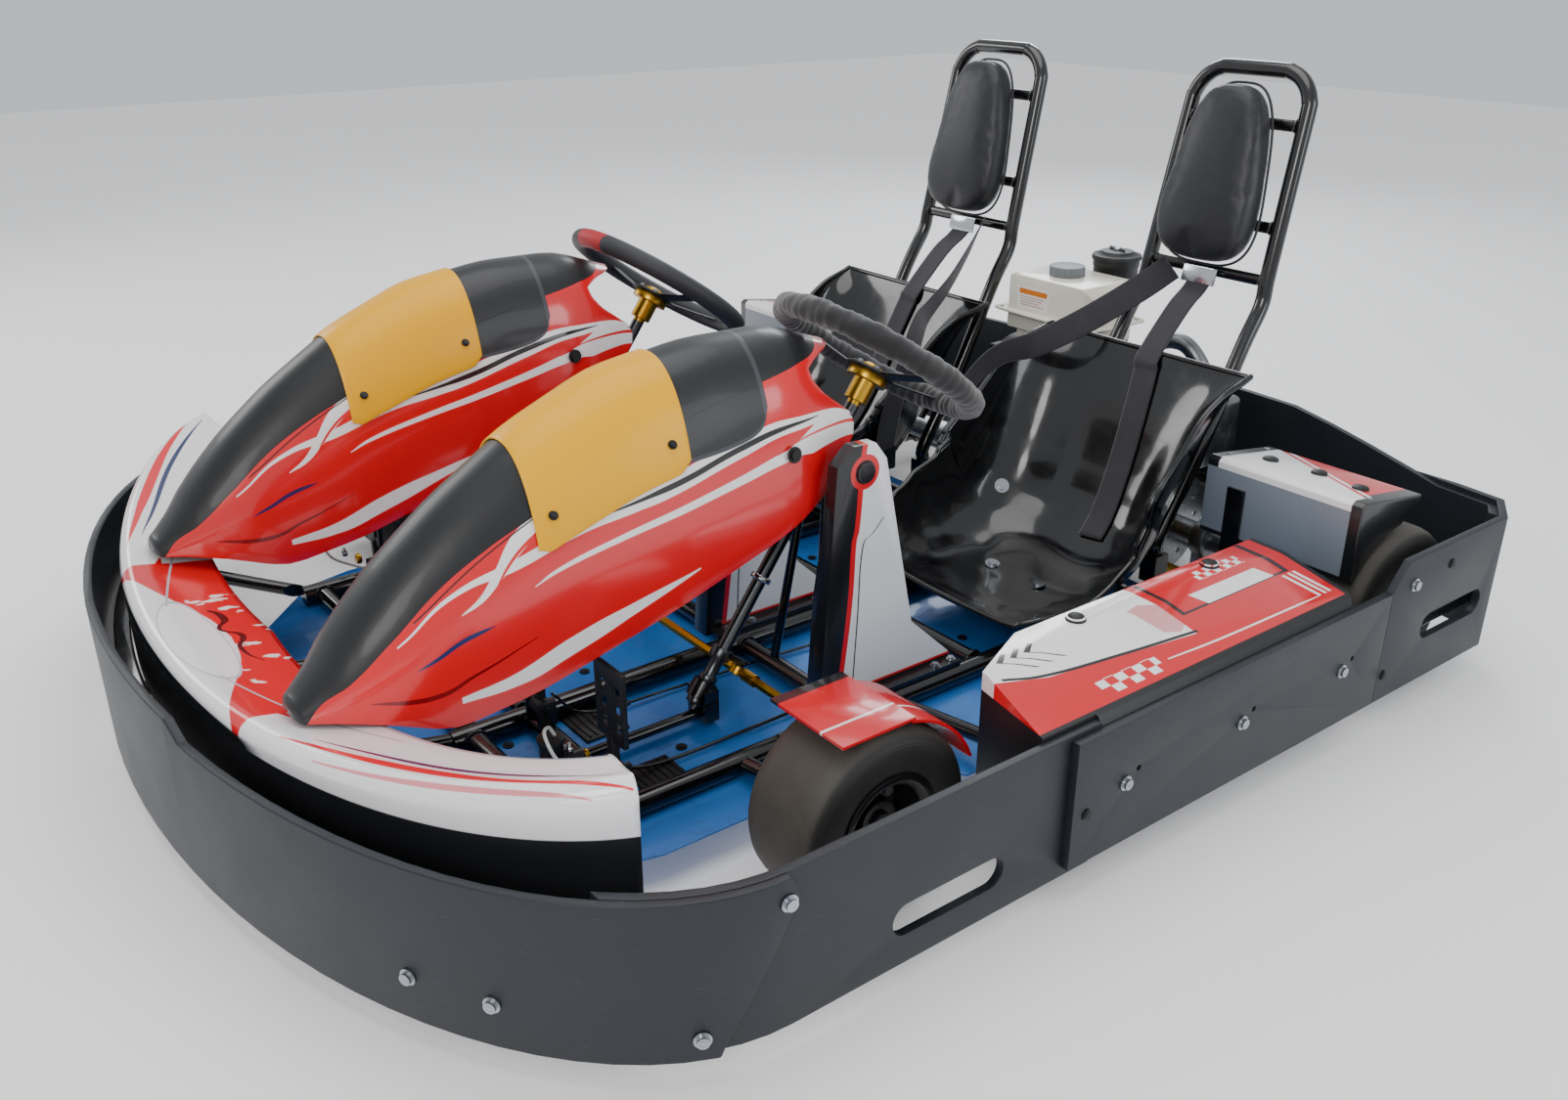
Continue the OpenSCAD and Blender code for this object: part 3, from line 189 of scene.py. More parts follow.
class Paint:
    # one material: its nodes, places in millimetres and painted areas
    def __init__(self, name, slot, rough=0.4, metal=0.0, **fixed):
        self.name = name
        self.slot = slot
        self.mat = bpy.data.materials.new(name)
        self.mat.use_nodes = True
        self.tree = self.mat.node_tree
        self.shader = self.tree.nodes["Principled BSDF"]
        self.shader.inputs["Roughness"].default_value = rough
        self.shader.inputs["Metallic"].default_value = metal
        for key, value in fixed.items():
            self.shader.inputs[key.replace("_", " ")].default_value = value
        self.place = None
        self.height = None

    def add(self, kind, settings=None, sockets=None):
        node = self.tree.nodes.new(kind)
        for key, value in (settings or {}).items():
            if key == "stops":
                ramp = node.color_ramp.elements
                while len(ramp) < len(value):
                    ramp.new(0.5)
                for element, (at, colour) in zip(ramp, value):
                    element.position = at
                    element.color = colour
            elif key == "line":
                points = node.mapping.curves[0].points
                while len(points) < len(value):
                    points.new(0.5, 0.5)
                for point, at in zip(points, value):
                    point.location = at
                    point.handle_type = "AUTO_CLAMPED"
                node.mapping.update()
            else:
                setattr(node, key, value)
        for key, value in (sockets or {}).items():
            if isinstance(value, Wire):
                value = value.socket
            if isinstance(value, bpy.types.NodeSocket):
                self.tree.links.new(value, node.inputs[key])
            else:
                node.inputs[key].default_value = value
        return node

    def spot(self):
        # the place on the object, in millimetres
        if self.place is None:
            coords = self.add("ShaderNodeTexCoord").outputs["Object"]
            node = self.add("ShaderNodeVectorMath", {"operation": "SCALE"}, {0: coords, "Scale": 1000.0})
            parts = self.add("ShaderNodeSeparateXYZ", None, {0: node.outputs[0]})
            self.place = (coords, node.outputs[0], [Wire(self, parts.outputs[i]) for i in range(3)])
        return self.place

    def xyz(self):
        return self.spot()[2]

    def along(self, direction, start=(0, 0, 0)):
        # distance in millimetres along a direction
        way = Vector(direction).normalized()
        node = self.add("ShaderNodeVectorMath", {"operation": "DOT_PRODUCT"},
                        {0: self.spot()[1], 1: tuple(way)})
        return Wire(self, node.outputs["Value"]) - way.dot(Vector(start))

    def noise(self, size, detail=4.0, rough=0.55, stretch=(1, 1, 1)):
        # noise whose grains are about that size in millimetres
        mapped = self.add("ShaderNodeMapping", None, {"Vector": self.spot()[0], "Scale": stretch}).outputs[0]
        node = self.add("ShaderNodeTexNoise", None, {"Vector": mapped, "Scale": 1000.0 / size,
                                                     "Detail": detail, "Roughness": rough})
        return Wire(self, node.outputs["Fac"])

    def cells(self, size, feature="F1"):
        node = self.add("ShaderNodeTexVoronoi", {"feature": feature},
                        {"Vector": self.spot()[0], "Scale": 1000.0 / size})
        return Wire(self, node.outputs["Distance"])

    def mix(self, base, over, mask):
        # colour over the base colour where the mask is 1
        node = self.tree.nodes.new("ShaderNodeMix")
        node.data_type = "RGBA"
        self.tree.links.new(mask.socket, node.inputs["Factor"])
        for at, value in ((6, base), (7, over)):
            if isinstance(value, bpy.types.NodeSocket):
                self.tree.links.new(value, node.inputs[at])
            else:
                node.inputs[at].default_value = rgb(value)
        return node.outputs[2]

    def fill(self, base, *areas):
        # areas are pairs of mask and colour, the later ones on top
        for mask, colour in areas:
            base = self.mix(base, colour, mask)
        return base

    def patch(self, corners, plane="yz", soft=0.7):
        # mask of a convex area given by its corners, seen along X or Z
        x, y, z = self.xyz()
        across, rise = (y, z) if plane == "yz" else ((abs(x), y) if plane == "xy" else (abs(x), z))
        size = sum(a[0] * b[1] - b[0] * a[1] for a, b in zip(corners, corners[1:] + corners[:1]))
        if size < 0:
            corners = corners[::-1]
        mask = None
        for (ax, ay), (bx, by) in zip(corners, corners[1:] + corners[:1]):
            long = math.hypot(bx - ax, by - ay)
            nx, ny = -(by - ay) / long, (bx - ax) / long
            edge = (across * nx + rise * ny).above(nx * ax + ny * ay, soft)
            mask = edge if mask is None else mask.least(edge)
        return mask

    def follow(self, value, pairs):
        # a smooth function of a value in millimetres, given by its points
        low, high = pairs[0][0], pairs[-1][0]
        down = min(p[1] for p in pairs)
        up = max(p[1] for p in pairs) + 1e-6
        line = [((a - low) / (high - low), (b - down) / (up - down)) for a, b in pairs]
        share = (value - low) / (high - low)
        node = self.add("ShaderNodeFloatCurve", {"line": line}, {"Value": share})
        return Wire(self, node.outputs[0]) * (up - down) + down

    def ribbon(self, value, other, pairs, soft=0.7):
        # band round a curve: pairs are (value, other, half width)
        middle = self.follow(value, [(a, b) for a, b, w in pairs])
        half = self.follow(value, [(a, w) for a, b, w in pairs])
        ends = value.between(pairs[0][0], pairs[-1][0], soft)
        return (half - abs(other - middle)).above(0, soft) * ends

    def bumps(self, height, strength=0.3, distance=0.001):
        sockets = {"Height": height, "Strength": strength, "Distance": distance}
        if self.height is not None:
            sockets["Normal"] = self.height
        self.height = self.add("ShaderNodeBump", None, sockets).outputs[0]
        self.tree.links.new(self.height, self.shader.inputs["Normal"])

    def feed(self, **values):
        for key, value in values.items():
            socket = self.shader.inputs[key.replace("_", " ")]
            value = value.socket if isinstance(value, Wire) else value
            if isinstance(value, bpy.types.NodeSocket):
                self.tree.links.new(value, socket)
            else:
                socket.default_value = rgb(value) if isinstance(value, str) else value
        return self


# ---- mesh helpers, all sizes in millimetres ----
def place(name, verts, faces, paint, smooth=True):
    mesh = bpy.data.meshes.new(name)
    mesh.from_pydata([tuple(c * mm for c in v) for v in verts], [], faces)
    if smooth:
        mesh.polygons.foreach_set("use_smooth", [True] * len(mesh.polygons))
    mesh.update()
    piece = bpy.data.objects.new(name, mesh)
    bpy.context.scene.collection.objects.link(piece)
    mesh.materials.append(paint.mat)
    return piece


def settle(piece):
    # turns a piece with modifiers into a plain mesh
    bpy.context.view_layer.update()
    ready = piece.evaluated_get(bpy.context.evaluated_depsgraph_get())
    mesh = bpy.data.meshes.new_from_object(ready)
    mesh.name = piece.name
    piece.modifiers.clear()
    piece.data = mesh
    return piece


def shape(piece, kind, **values):
    modifier = piece.modifiers.new(kind.lower(), kind)
    for key, value in values.items():
        setattr(modifier, key, value)
    return modifier


def tidyMesh(piece, distance=0.00002, turn=False):
    work = bmesh.new()
    work.from_mesh(piece.data)
    bmesh.ops.remove_doubles(work, verts=work.verts, dist=distance)
    if turn:
        bmesh.ops.recalc_face_normals(work, faces=work.faces)
    work.to_mesh(piece.data)
    work.free()


def skin(name, rows, paint, closed=False, caps=False):
    # surface through rows of points
    count = len(rows[0])
    verts = [p for row in rows for p in row]
    faces = []
    for i in range(len(rows) - 1):
        for j in range(count if closed else count - 1):
            a, b = i * count + j, i * count + (j + 1) % count
            faces.append((a, b, b + count, a + count))
    if caps:
        faces.append(tuple(range(count))[::-1])
        faces.append(tuple((len(rows) - 1) * count + j for j in range(count)))
    return place(name, verts, faces, paint)


def mirrored(piece, name):
    # the same piece on the other side of the kart
    mesh = piece.data.copy()
    mesh.transform(Matrix.Diagonal((-1, 1, 1, 1)))
    mesh.flip_normals()
    other = bpy.data.objects.new(name, mesh)
    bpy.context.scene.collection.objects.link(other)
    return other


def joined(name, pieces):
    # one mesh of several plain ones that share their materials in order
    work = bmesh.new()
    mesh = bpy.data.meshes.new(name)
    slots = []
    for piece in pieces:
        start = len(work.faces)
        work.from_mesh(piece.data)
        work.faces.ensure_lookup_table()
        places = []
        for material in piece.data.materials:
            if material not in slots:
                slots.append(material)
            places.append(slots.index(material))
        for face in work.faces[start:]:
            face.material_index = places[face.material_index] if places else 0
    work.to_mesh(mesh)
    work.free()
    for material in slots:
        mesh.materials.append(material)
    for piece in pieces:
        bpy.data.objects.remove(piece)
    whole = bpy.data.objects.new(name, mesh)
    bpy.context.scene.collection.objects.link(whole)
    return whole


def smoothPath(points, per=8, closed=False):
    # points of a smooth curve through the given ones
    pts = [Vector(p) for p in points]
    last = len(pts)
    out = []
    for i in range(last if closed else last - 1):
        if closed:
            p0, p1, p2, p3 = pts[i - 1], pts[i], pts[(i + 1) % last], pts[(i + 2) % last]
        else:
            p1, p2 = pts[i], pts[i + 1]
            p0 = pts[i - 1] if i else p1 * 2 - p2
            p3 = pts[i + 2] if i + 2 < last else p2 * 2 - p1
        for k in range(per):
            t = k / per
            out.append(0.5 * (2 * p1 + (p2 - p0) * t + (2 * p0 - 5 * p1 + 4 * p2 - p3) * t * t
                              + (3 * p1 - p0 - 3 * p2 + p3) * t ** 3))
    if not closed:
        out.append(pts[-1])
    return out


def sweep(name, path, section, paint, up=(0, 0, 1), closed=False, caps=True, size=None):
    # a section swept along a path, turned as little as it can be; size(share) scales it
    pts = [Vector(p) for p in path]
    last = len(pts)
    side = Vector(up)
    rows = []
    for i, p in enumerate(pts):
        a = pts[i - 1] if i or closed else p
        b = pts[(i + 1) % last] if i + 1 < last or closed else p
        way = (b - a).normalized()
        side = (side - way * side.dot(way)).normalized()
        cross = way.cross(side)
        grow = size(i / (last - 1)) if size else 1
        rows.append([p + side * (s[1] * grow) + cross * (s[0] * grow) for s in section])
    if closed:
        rows.append(rows[0])
    piece = skin(name, rows, paint, closed=True, caps=caps and not closed)
    if closed:
        tidyMesh(piece)
    return piece


def circle(radius, sides=16, wide=1.0):
    return [(-radius * wide * math.cos(2 * math.pi * j / sides), radius * math.sin(2 * math.pi * j / sides))
            for j in range(sides)]


def tube(name, points, radius, paint, per=8, sides=16, closed=False, size=None):
    path = smoothPath(points, per, closed) if per > 1 else points
    return sweep(name, path, circle(radius, sides), paint, closed=closed, size=size)


def spin(name, outline, paint, centre, axis=(1, 0, 0), steps=96, closed=True):
    # outline of (radius, distance along the axis) turned about the axis
    way = Vector(axis).normalized()
    side = way.orthogonal().normalized()
    cross = way.cross(side)
    start = Vector(centre)
    rows = []
    for i in range(steps + 1):
        turn = 2 * math.pi * (i % steps) / steps
        out = side * math.cos(turn) + cross * math.sin(turn)
        rows.append([start + out * r + way * h for r, h in outline])
    piece = skin(name, rows, paint, closed=closed)
    tidyMesh(piece, turn=True)
    return piece


def plug(name, outline, low, high, paint, plane="xy", bevel=2.0, segments=3):
    # a flat outline given a thickness, with rounded edges
    put = {"xy": lambda a, b, c: (a, b, c), "xz": lambda a, b, c: (a, c, b), "yz": lambda a, b,
           c: (c, a, b)}[plane]
    count = len(outline)
    verts = [put(a, b, low) for a, b in outline] + [put(a, b, high) for a, b in outline]
    faces = [tuple(range(count))[::-1], tuple(range(count, 2 * count))]
    faces += [(j, (j + 1) % count, (j + 1) % count + count, j + count) for j in range(count)]
    piece = place(name, verts, faces, paint)
    tidyMesh(piece, turn=True)
    if bevel:
        shape(piece, "BEVEL", width=bevel * mm, segments=segments, limit_method="ANGLE", angle_limit=0.6)
        settle(piece)
    return piece


def brick(name, low, high, paint, bevel=2.0, segments=3):
    x0, y0, z0 = low
    x1, y1, z1 = high
    return plug(name, [(x0, y0), (x1, y0), (x1, y1), (x0, y1)], z0, z1, paint, "xy", bevel, segments)


def turned(piece, centre, axis, angle):
    # turns a finished piece's mesh about a line
    middle = Vector(centre) * mm
    way = Matrix.Translation(middle) @ Matrix.Rotation(math.radians(angle), 4,
                                                       axis) @ Matrix.Translation(-middle)
    piece.data.transform(way)
    return piece


def eased(node, paint, width=2.0, segments=3, angle=25, name=None):
    # the CAD node's own shape with its edges rounded
    mesh = nodes[node].data.copy()
    piece = bpy.data.objects.new(name or node + ".shown", mesh)
    bpy.context.scene.collection.objects.link(piece)
    work = bmesh.new()
    work.from_mesh(mesh)
    bmesh.ops.remove_doubles(work, verts=work.verts, dist=0.00001)
    bmesh.ops.dissolve_limit(work, angle_limit=math.radians(1.5), verts=work.verts, edges=work.edges)
    work.to_mesh(mesh)
    work.free()
    mesh.materials.clear()
    mesh.materials.append(paint.mat)
    mesh.polygons.foreach_set("material_index", [0] * len(mesh.polygons))
    shape(piece, "BEVEL", width=width * mm, segments=segments, limit_method="ANGLE",
          angle_limit=math.radians(angle), harden_normals=False)
    settle(piece)
    smoothBy(piece, 32)
    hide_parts(node)
    return piece


def smoothBy(piece, angle):
    piece.data.polygons.foreach_set("use_smooth", [True] * len(piece.data.polygons))
    work = bmesh.new()
    work.from_mesh(piece.data)
    for edge in work.edges:
        edge.smooth = len(edge.link_faces) == 2 and edge.calc_face_angle(0) < math.radians(angle)
    work.to_mesh(piece.data)
    work.free()


def mount(piece, body, paint, *stands):
    if stands:
        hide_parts(*stands)
    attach(piece, body)
    return piece


# ---- Geometry Nodes ----
class Repeat:
    # a tree that puts a small piece on each of the given points
    def __init__(self, name, **sizes):
        self.tree = bpy.data.node_groups.new(name, "GeometryNodeTree")
        face = self.tree.interface
        face.new_socket("Geometry", in_out="INPUT", socket_type="NodeSocketGeometry")
        self.named = {}
        for key, value in sizes.items():
            kind = "NodeSocketInt" if isinstance(value, int) else "NodeSocketFloat"
            socket = face.new_socket(key, in_out="INPUT", socket_type=kind)
            socket.default_value = value
            self.named[key] = socket.identifier
        face.new_socket("Geometry", in_out="OUTPUT", socket_type="NodeSocketGeometry")
        self.entry = self.tree.nodes.new("NodeGroupInput")
        self.exit = self.tree.nodes.new("NodeGroupOutput")

    def add(self, kind, settings=None, sockets=None):
        node = self.tree.nodes.new(kind)
        for key, value in (settings or {}).items():
            setattr(node, key, value)
        for key, value in (sockets or {}).items():
            if isinstance(value, bpy.types.NodeSocket):
                self.tree.links.new(value, node.inputs[key])
            else:
                node.inputs[key].default_value = value
        return node

    def size(self, key):
        return self.entry.outputs[key]

    def end(self, geometry, paint):
        real = self.add("GeometryNodeRealizeInstances", None, {0: geometry})
        done = self.add("GeometryNodeSetMaterial", None, {0: real.outputs[0], "Material": paint.mat})
        self.tree.links.new(done.outputs[0], self.exit.inputs[0])

    def make(self, name, spots, ways, **sizes):
        # spots are the places and ways the directions that the pieces point in
        mesh = bpy.data.meshes.new(name)
        mesh.from_pydata([tuple(c * mm for c in p) for p in spots], [], [])
        way = mesh.attributes.new("way", "FLOAT_VECTOR", "POINT")
        way.data.foreach_set("vector", [c for w in ways for c in Vector(w).normalized()])
        piece = bpy.data.objects.new(name, mesh)
        bpy.context.scene.collection.objects.link(piece)
        modifier = piece.modifiers.new(name, "NODES")
        modifier.node_group = self.tree
        for key, value in sizes.items():
            modifier[self.named[key]] = value
        return settle(piece)


def pointed(tree, shapeOut):
    # instances of a shape on the points, turned so that its Z follows the stored direction
    way = tree.add("GeometryNodeInputNamedAttribute", {"data_type": "FLOAT_VECTOR"}, {"Name": "way"})
    turn = tree.add("FunctionNodeAlignRotationToVector", {"axis": "Z"}, {"Vector": way.outputs[0]})
    spread = tree.add("GeometryNodeInstanceOnPoints", None,
                      {"Points": tree.entry.outputs[0], "Instance": shapeOut, "Rotation": turn.outputs[0]})
    return spread.outputs[0]


def screwTree(name, paint, sides=6):
    # washer and a head with a socket: a cylinder with its top sunk in
    tree = Repeat(name, washer=0.010, head=0.007, high=0.005)
    washer = tree.add("GeometryNodeMeshCylinder", None,
                      {"Vertices": 24, "Radius": tree.size("washer"), "Depth": 0.002})
    head = tree.add("GeometryNodeMeshCylinder", None, {"Vertices": 24, "Radius": tree.size("head"),
                                                       "Depth": tree.size("high")})
    hexEdge = tree.add("GeometryNodeMeshCircle", {"fill_type": "NGON"}, {"Vertices": sides, "Radius": 0.0036})
    down = tree.add("GeometryNodeExtrudeMesh", None, {"Mesh": hexEdge.outputs[0], "Offset Scale": -0.0022})
    half = tree.add("ShaderNodeMath", {"operation": "MULTIPLY_ADD"}, {0: tree.size("high"), 1: 0.5, 2: 0.002})
    lift = tree.add("ShaderNodeCombineXYZ", None, {2: half.outputs[0]})
    raised = tree.add("GeometryNodeTransform", None,
                      {"Geometry": head.outputs[0], "Translation": lift.outputs[0]})
    topAt = tree.add("ShaderNodeMath", {"operation": "ADD"}, {0: tree.size("high"), 1: 0.0022})
    topLift = tree.add("ShaderNodeCombineXYZ", None, {2: topAt.outputs[0]})
    socket = tree.add("GeometryNodeTransform", None,
                      {"Geometry": down.outputs[0], "Translation": topLift.outputs[0]})
    base = tree.add("GeometryNodeTransform", None,
                    {"Geometry": washer.outputs[0], "Translation": (0, 0, 0.001)})
    whole = tree.add("GeometryNodeJoinGeometry")
    for part in (base, raised, socket):
        tree.tree.links.new(part.outputs[0], whole.inputs[0])
    tree.end(pointed(tree, whole.outputs[0]), paint)
    return tree


# ---- finishes ----
def moulded(name, slot, colour, rough, grain=0.9, wear=0.05, strength=0.12):
    # moulded or cut plastic: fine grain, slightly uneven gloss, faint scuffs
    paint = Paint(name, slot, rough)
    fine = paint.noise(grain, 3)
    wide = paint.noise(90, 4)
    scuff = paint.noise(14, 6, 0.7, (1, 1, 6)).above(0.66, 0.08)
    paint.feed(Base_Color=paint.fill(colour, (wide.above(0.55, 0.5) * 0.35, shadeOf(colour, 1.25)),
                                     (scuff * wear, "#8b9098")),
               Roughness=wide * 0.16 + fine * 0.08 + (rough - 0.1))
    paint.bumps(fine + scuff * 0.6, strength, 0.0004)
    return paint


def shadeOf(code, by):
    # the same colour lighter or darker
    return "#" + "".join(f"{min(255, round(int(code[i:i + 2], 16) * by)):02x}" for i in (1, 3, 5))


def metalled(name, slot, colour, rough, metal=1.0, brushed=(1, 1, 1), grain=3.0):
    # bare or plated metal with a brushed grain and a little grime
    paint = Paint(name, slot, rough, metal)
    line = paint.noise(grain, 4, 0.6, brushed)
    grime = paint.noise(30, 5, 0.65).above(0.6, 0.2)
    paint.feed(Base_Color=paint.fill(colour, (line * 0.4, shadeOf(colour, 0.8)),
                                     (grime * 0.35, shadeOf(colour, 0.45))),
               Roughness=line * 0.15 + grime * 0.2 + (rough - 0.07))
    paint.bumps(line, 0.1, 0.0003)
    return paint


def glossPaint(name, slot, colour, rough=0.16):
    # sprayed enamel: slight orange peel and dust
    paint = Paint(name, slot, rough, Coat_Weight=0.6, Coat_Roughness=0.06)
    peel = paint.noise(2.2, 2)
    dust = paint.noise(45, 5, 0.6).above(0.58, 0.3)
    paint.feed(Base_Color=paint.fill(colour, (dust * 0.25, shadeOf(colour, 1.5))),
               Roughness=dust * 0.18 + rough)
    paint.bumps(peel, 0.05, 0.0004)
    return paint


seatX = 289


def fairingPaint():
    # printed film on the fairing: black top, red sides with white and black stripes
    paint = Paint("fairingFilm", "fairing_red", 0.2, Coat_Weight=0.7, Coat_Roughness=0.07)
    x, y, z = paint.xyz()
    edge = paint.follow(y, [(-826, 262), (-809, 284), (-778, 306), (-726, 350), (-663, 400), (-600, 436),
                            (-543, 462),
                            (-483, 491), (-415, 517), (-330, 537), (-237, 555), (-151, 569), (-96, 579),
                            (-60, 620)])
    top = z.above(edge)
    border = z.above(edge - 5) * y.above(-190, 30)
    out = abs(abs(x) - seatX)
    film = paint.noise(60, 3)
    white = paint.ribbon(y, z, [(-722, 343, 1), (-631, 398, 3.5), (-583, 409, 6), (-482, 440, 8),
                                (-414, 452, 10),
                                (-346, 467, 13), (-253, 488, 12), (-172, 500, 9), (-93, 498, 5),
                                (-48, 486, 2)])
    inner = paint.ribbon(y, z, [(-455, 447, 0.5), (-400, 456, 2.5), (-346, 466, 4), (-253, 488, 4),
                                (-172, 500, 2.5),
                                (-120, 501, 0.5)])
    second = paint.ribbon(y, z, [(-556, 381, 0.5), (-525, 394, 2.5), (-433, 415, 4), (-349, 430, 5),
                                 (-257, 447, 6),
                                 (-175, 463, 8), (-110, 470, 10), (-60, 468, 14), (-36, 462, 18)])
    tail = paint.patch([(-215, 455), (-120, 497), (-64, 492), (-36, 470), (-36, 440), (-120, 452)])
    lineRed = paint.ribbon(y, z, [(-200, 466, 0.5), (-120, 481, 1.6), (-60, 478, 2.4), (-36, 470, 3)])
    lowRed = paint.ribbon(y, z, [(-240, 440, 1), (-150, 449, 4), (-90, 452, 6), (-36, 446, 8)])
    splash = paint.ribbon(y, z, [(-646, 366, 0.5), (-622, 379, 4), (-598, 403, 9), (-572, 432, 13),
                                 (-545, 452, 9),
                                 (-512, 473, 4), (-468, 497, 1)])
    gap = paint.ribbon(y, z, [(-610, 378, 1), (-575, 420, 2.5), (-535, 448, 2), (-500, 468, 0.5)])
    hemWhite = paint.ribbon(y, z, [(-660, 262, 4), (-600, 268, 8), (-520, 292, 12), (-430, 318, 8),
                                   (-330, 346, 1)])
    navy = paint.ribbon(y, z, [(-706, 312, 0.5), (-680, 322, 2.5), (-648, 336, 3), (-610, 345, 0.5)])
    thin = paint.ribbon(y, z, [(-760, 282, 0.5), (-700, 275, 3), (-640, 290, 2), (-560, 318, 0.5)])
    seam = paint.ribbon(y, z, [(-700, 367, 1.1), (-600, 431, 1.1), (-483, 486, 1.1), (-415, 512, 1.1)])
    floorLine = paint.follow(y, [(-470, 472), (-440, 480), (-350, 484), (-251, 493), (-222, 503),
                                 (-206, 530)])
    recess = z.above(floorLine, 1) * y.between(-470, -206, 1)
    rim = z.above(floorLine + 5, 1) * y.between(-464, -213, 1)
    sides = out.above(14, 2)
    colour = paint.fill("#e0101c", (film * 0.25, "#c80c18"), (white, "#f4f3f2"), (inner, "#141417"),
                        (second, "#f4f3f2"), (tail * sides, "#f2f1f1"), (lineRed, "#e0101c"),
                        (lowRed, "#e0101c"),
                        (splash, "#f4f3f2"), (gap, "#e0101c"), (hemWhite, "#f0eff0"), (navy, "#1c2a5e"),
                        (thin, "#7d0710"), (border, "#e0101c"), (top, "#141517"), (seam * 0.9, "#1a0506"),
                        (recess, "#3a3d42"), (rim, "#1b1c1f"))
    black = top.most(recess)
    paint.feed(Base_Color=colour, Roughness=black * 0.2 + film * 0.08 + 0.16,
               Coat_Weight=(1 - black) * 0.6 + 0.1)
    paint.bumps(top - seam * 1.2 + recess * 0.5 + rim * -0.8, 0.35, 0.0012)
    paint.bumps(paint.noise(1.2, 3) * black, 0.06, 0.0004)
    return paint


def nosePaint():
    # printed film on the nose panel
    paint = Paint("noseFilm", "nose_graphics", 0.22, Coat_Weight=0.6, Coat_Roughness=0.08)
    x, y, z = paint.xyz()
    side = abs(x)
    film = paint.noise(70, 3)
    # how far in a point lies from the front edge
    run = x * (1 / 790)
    arc = (1 - run * run).most(0) ** 0.5
    inner = y + arc * 368 + 542
    redEdge = paint.follow(side, [(0, 96), (60, 88), (120, 64), (180, 34), (230, 10), (280, -10)])
    burst = inner.above(redEdge, 1.5) * side.below(262, 2)
    oval = ((x * (1 / 128)) ** 2 + ((inner - 52) * (1 / 34)) ** 2)
    ovalIn = oval.below(1.0, 0.05)
    ovalRim = oval.below(1.12, 0.05)
    wedge = inner.between(4, 60, 2) * side.between(210, 330, 3)
    cut = (inner - side * 0.42 + 60).above(0, 1)
    swoopA = paint.ribbon(side, inner, [(330, 18, 1), (420, 34, 5), (520, 46, 8), (620, 52, 6), (720, 60, 1)])
    swoopB = paint.ribbon(side, inner, [(360, 40, 0.5), (450, 58, 3), (560, 68, 4), (690, 82, 1)])
    swoopC = paint.ribbon(side, inner, [(400, 12, 0.5), (500, 20, 2), (600, 30, 3), (700, 44, 0.5)])
    ring = (abs(inner - side * 0.2 - 20)).below(1.6, 0.8) * side.between(120, 420, 10)
    crack = paint.ribbon(x, inner, [(-95, 92, 3), (-60, 104, 5), (-30, 90, 3), (0, 110, 4), (40, 96, 3),
                                    (90, 108, 0.5)])
    arrows = (paint.noise(50, 2, 0.5, (2.2, 1, 1)).above(0.62, 0.02)) * side.below(190, 3) * inner.above(70,
                                                                                                         3)
    low = z.below(226 + side * side * 0.00006, 1.5)
    rimWhite = inner.below(3.2, 1)
    colour = paint.fill("#f1f1f3", (film * 0.2, "#e2e3e8"), (wedge * cut, "#e11320"), (burst, "#de111d"),
                        (arrows, "#f5f5f6"), (crack, "#2a0c10"),
                        (ovalRim, "#c9ccd2"),
                        (ovalIn, "#f8f8f9"), (ring, "#b9bcc6"), (swoopA, "#e2202c"), (swoopB, "#22305f"),
                        (swoopC, "#e58a92"), (rimWhite, "#1a1b1e"), (low, "#17181b"))
    paint.feed(Base_Color=colour, Roughness=low * 0.22 + film * 0.08 + 0.17, Coat_Weight=(1 - low) * 0.6)
    paint.bumps(paint.noise(1.2, 3) * low, 0.08, 0.0004)
    paint.bumps(1 - low, 0.2, 0.0008)
    return paint


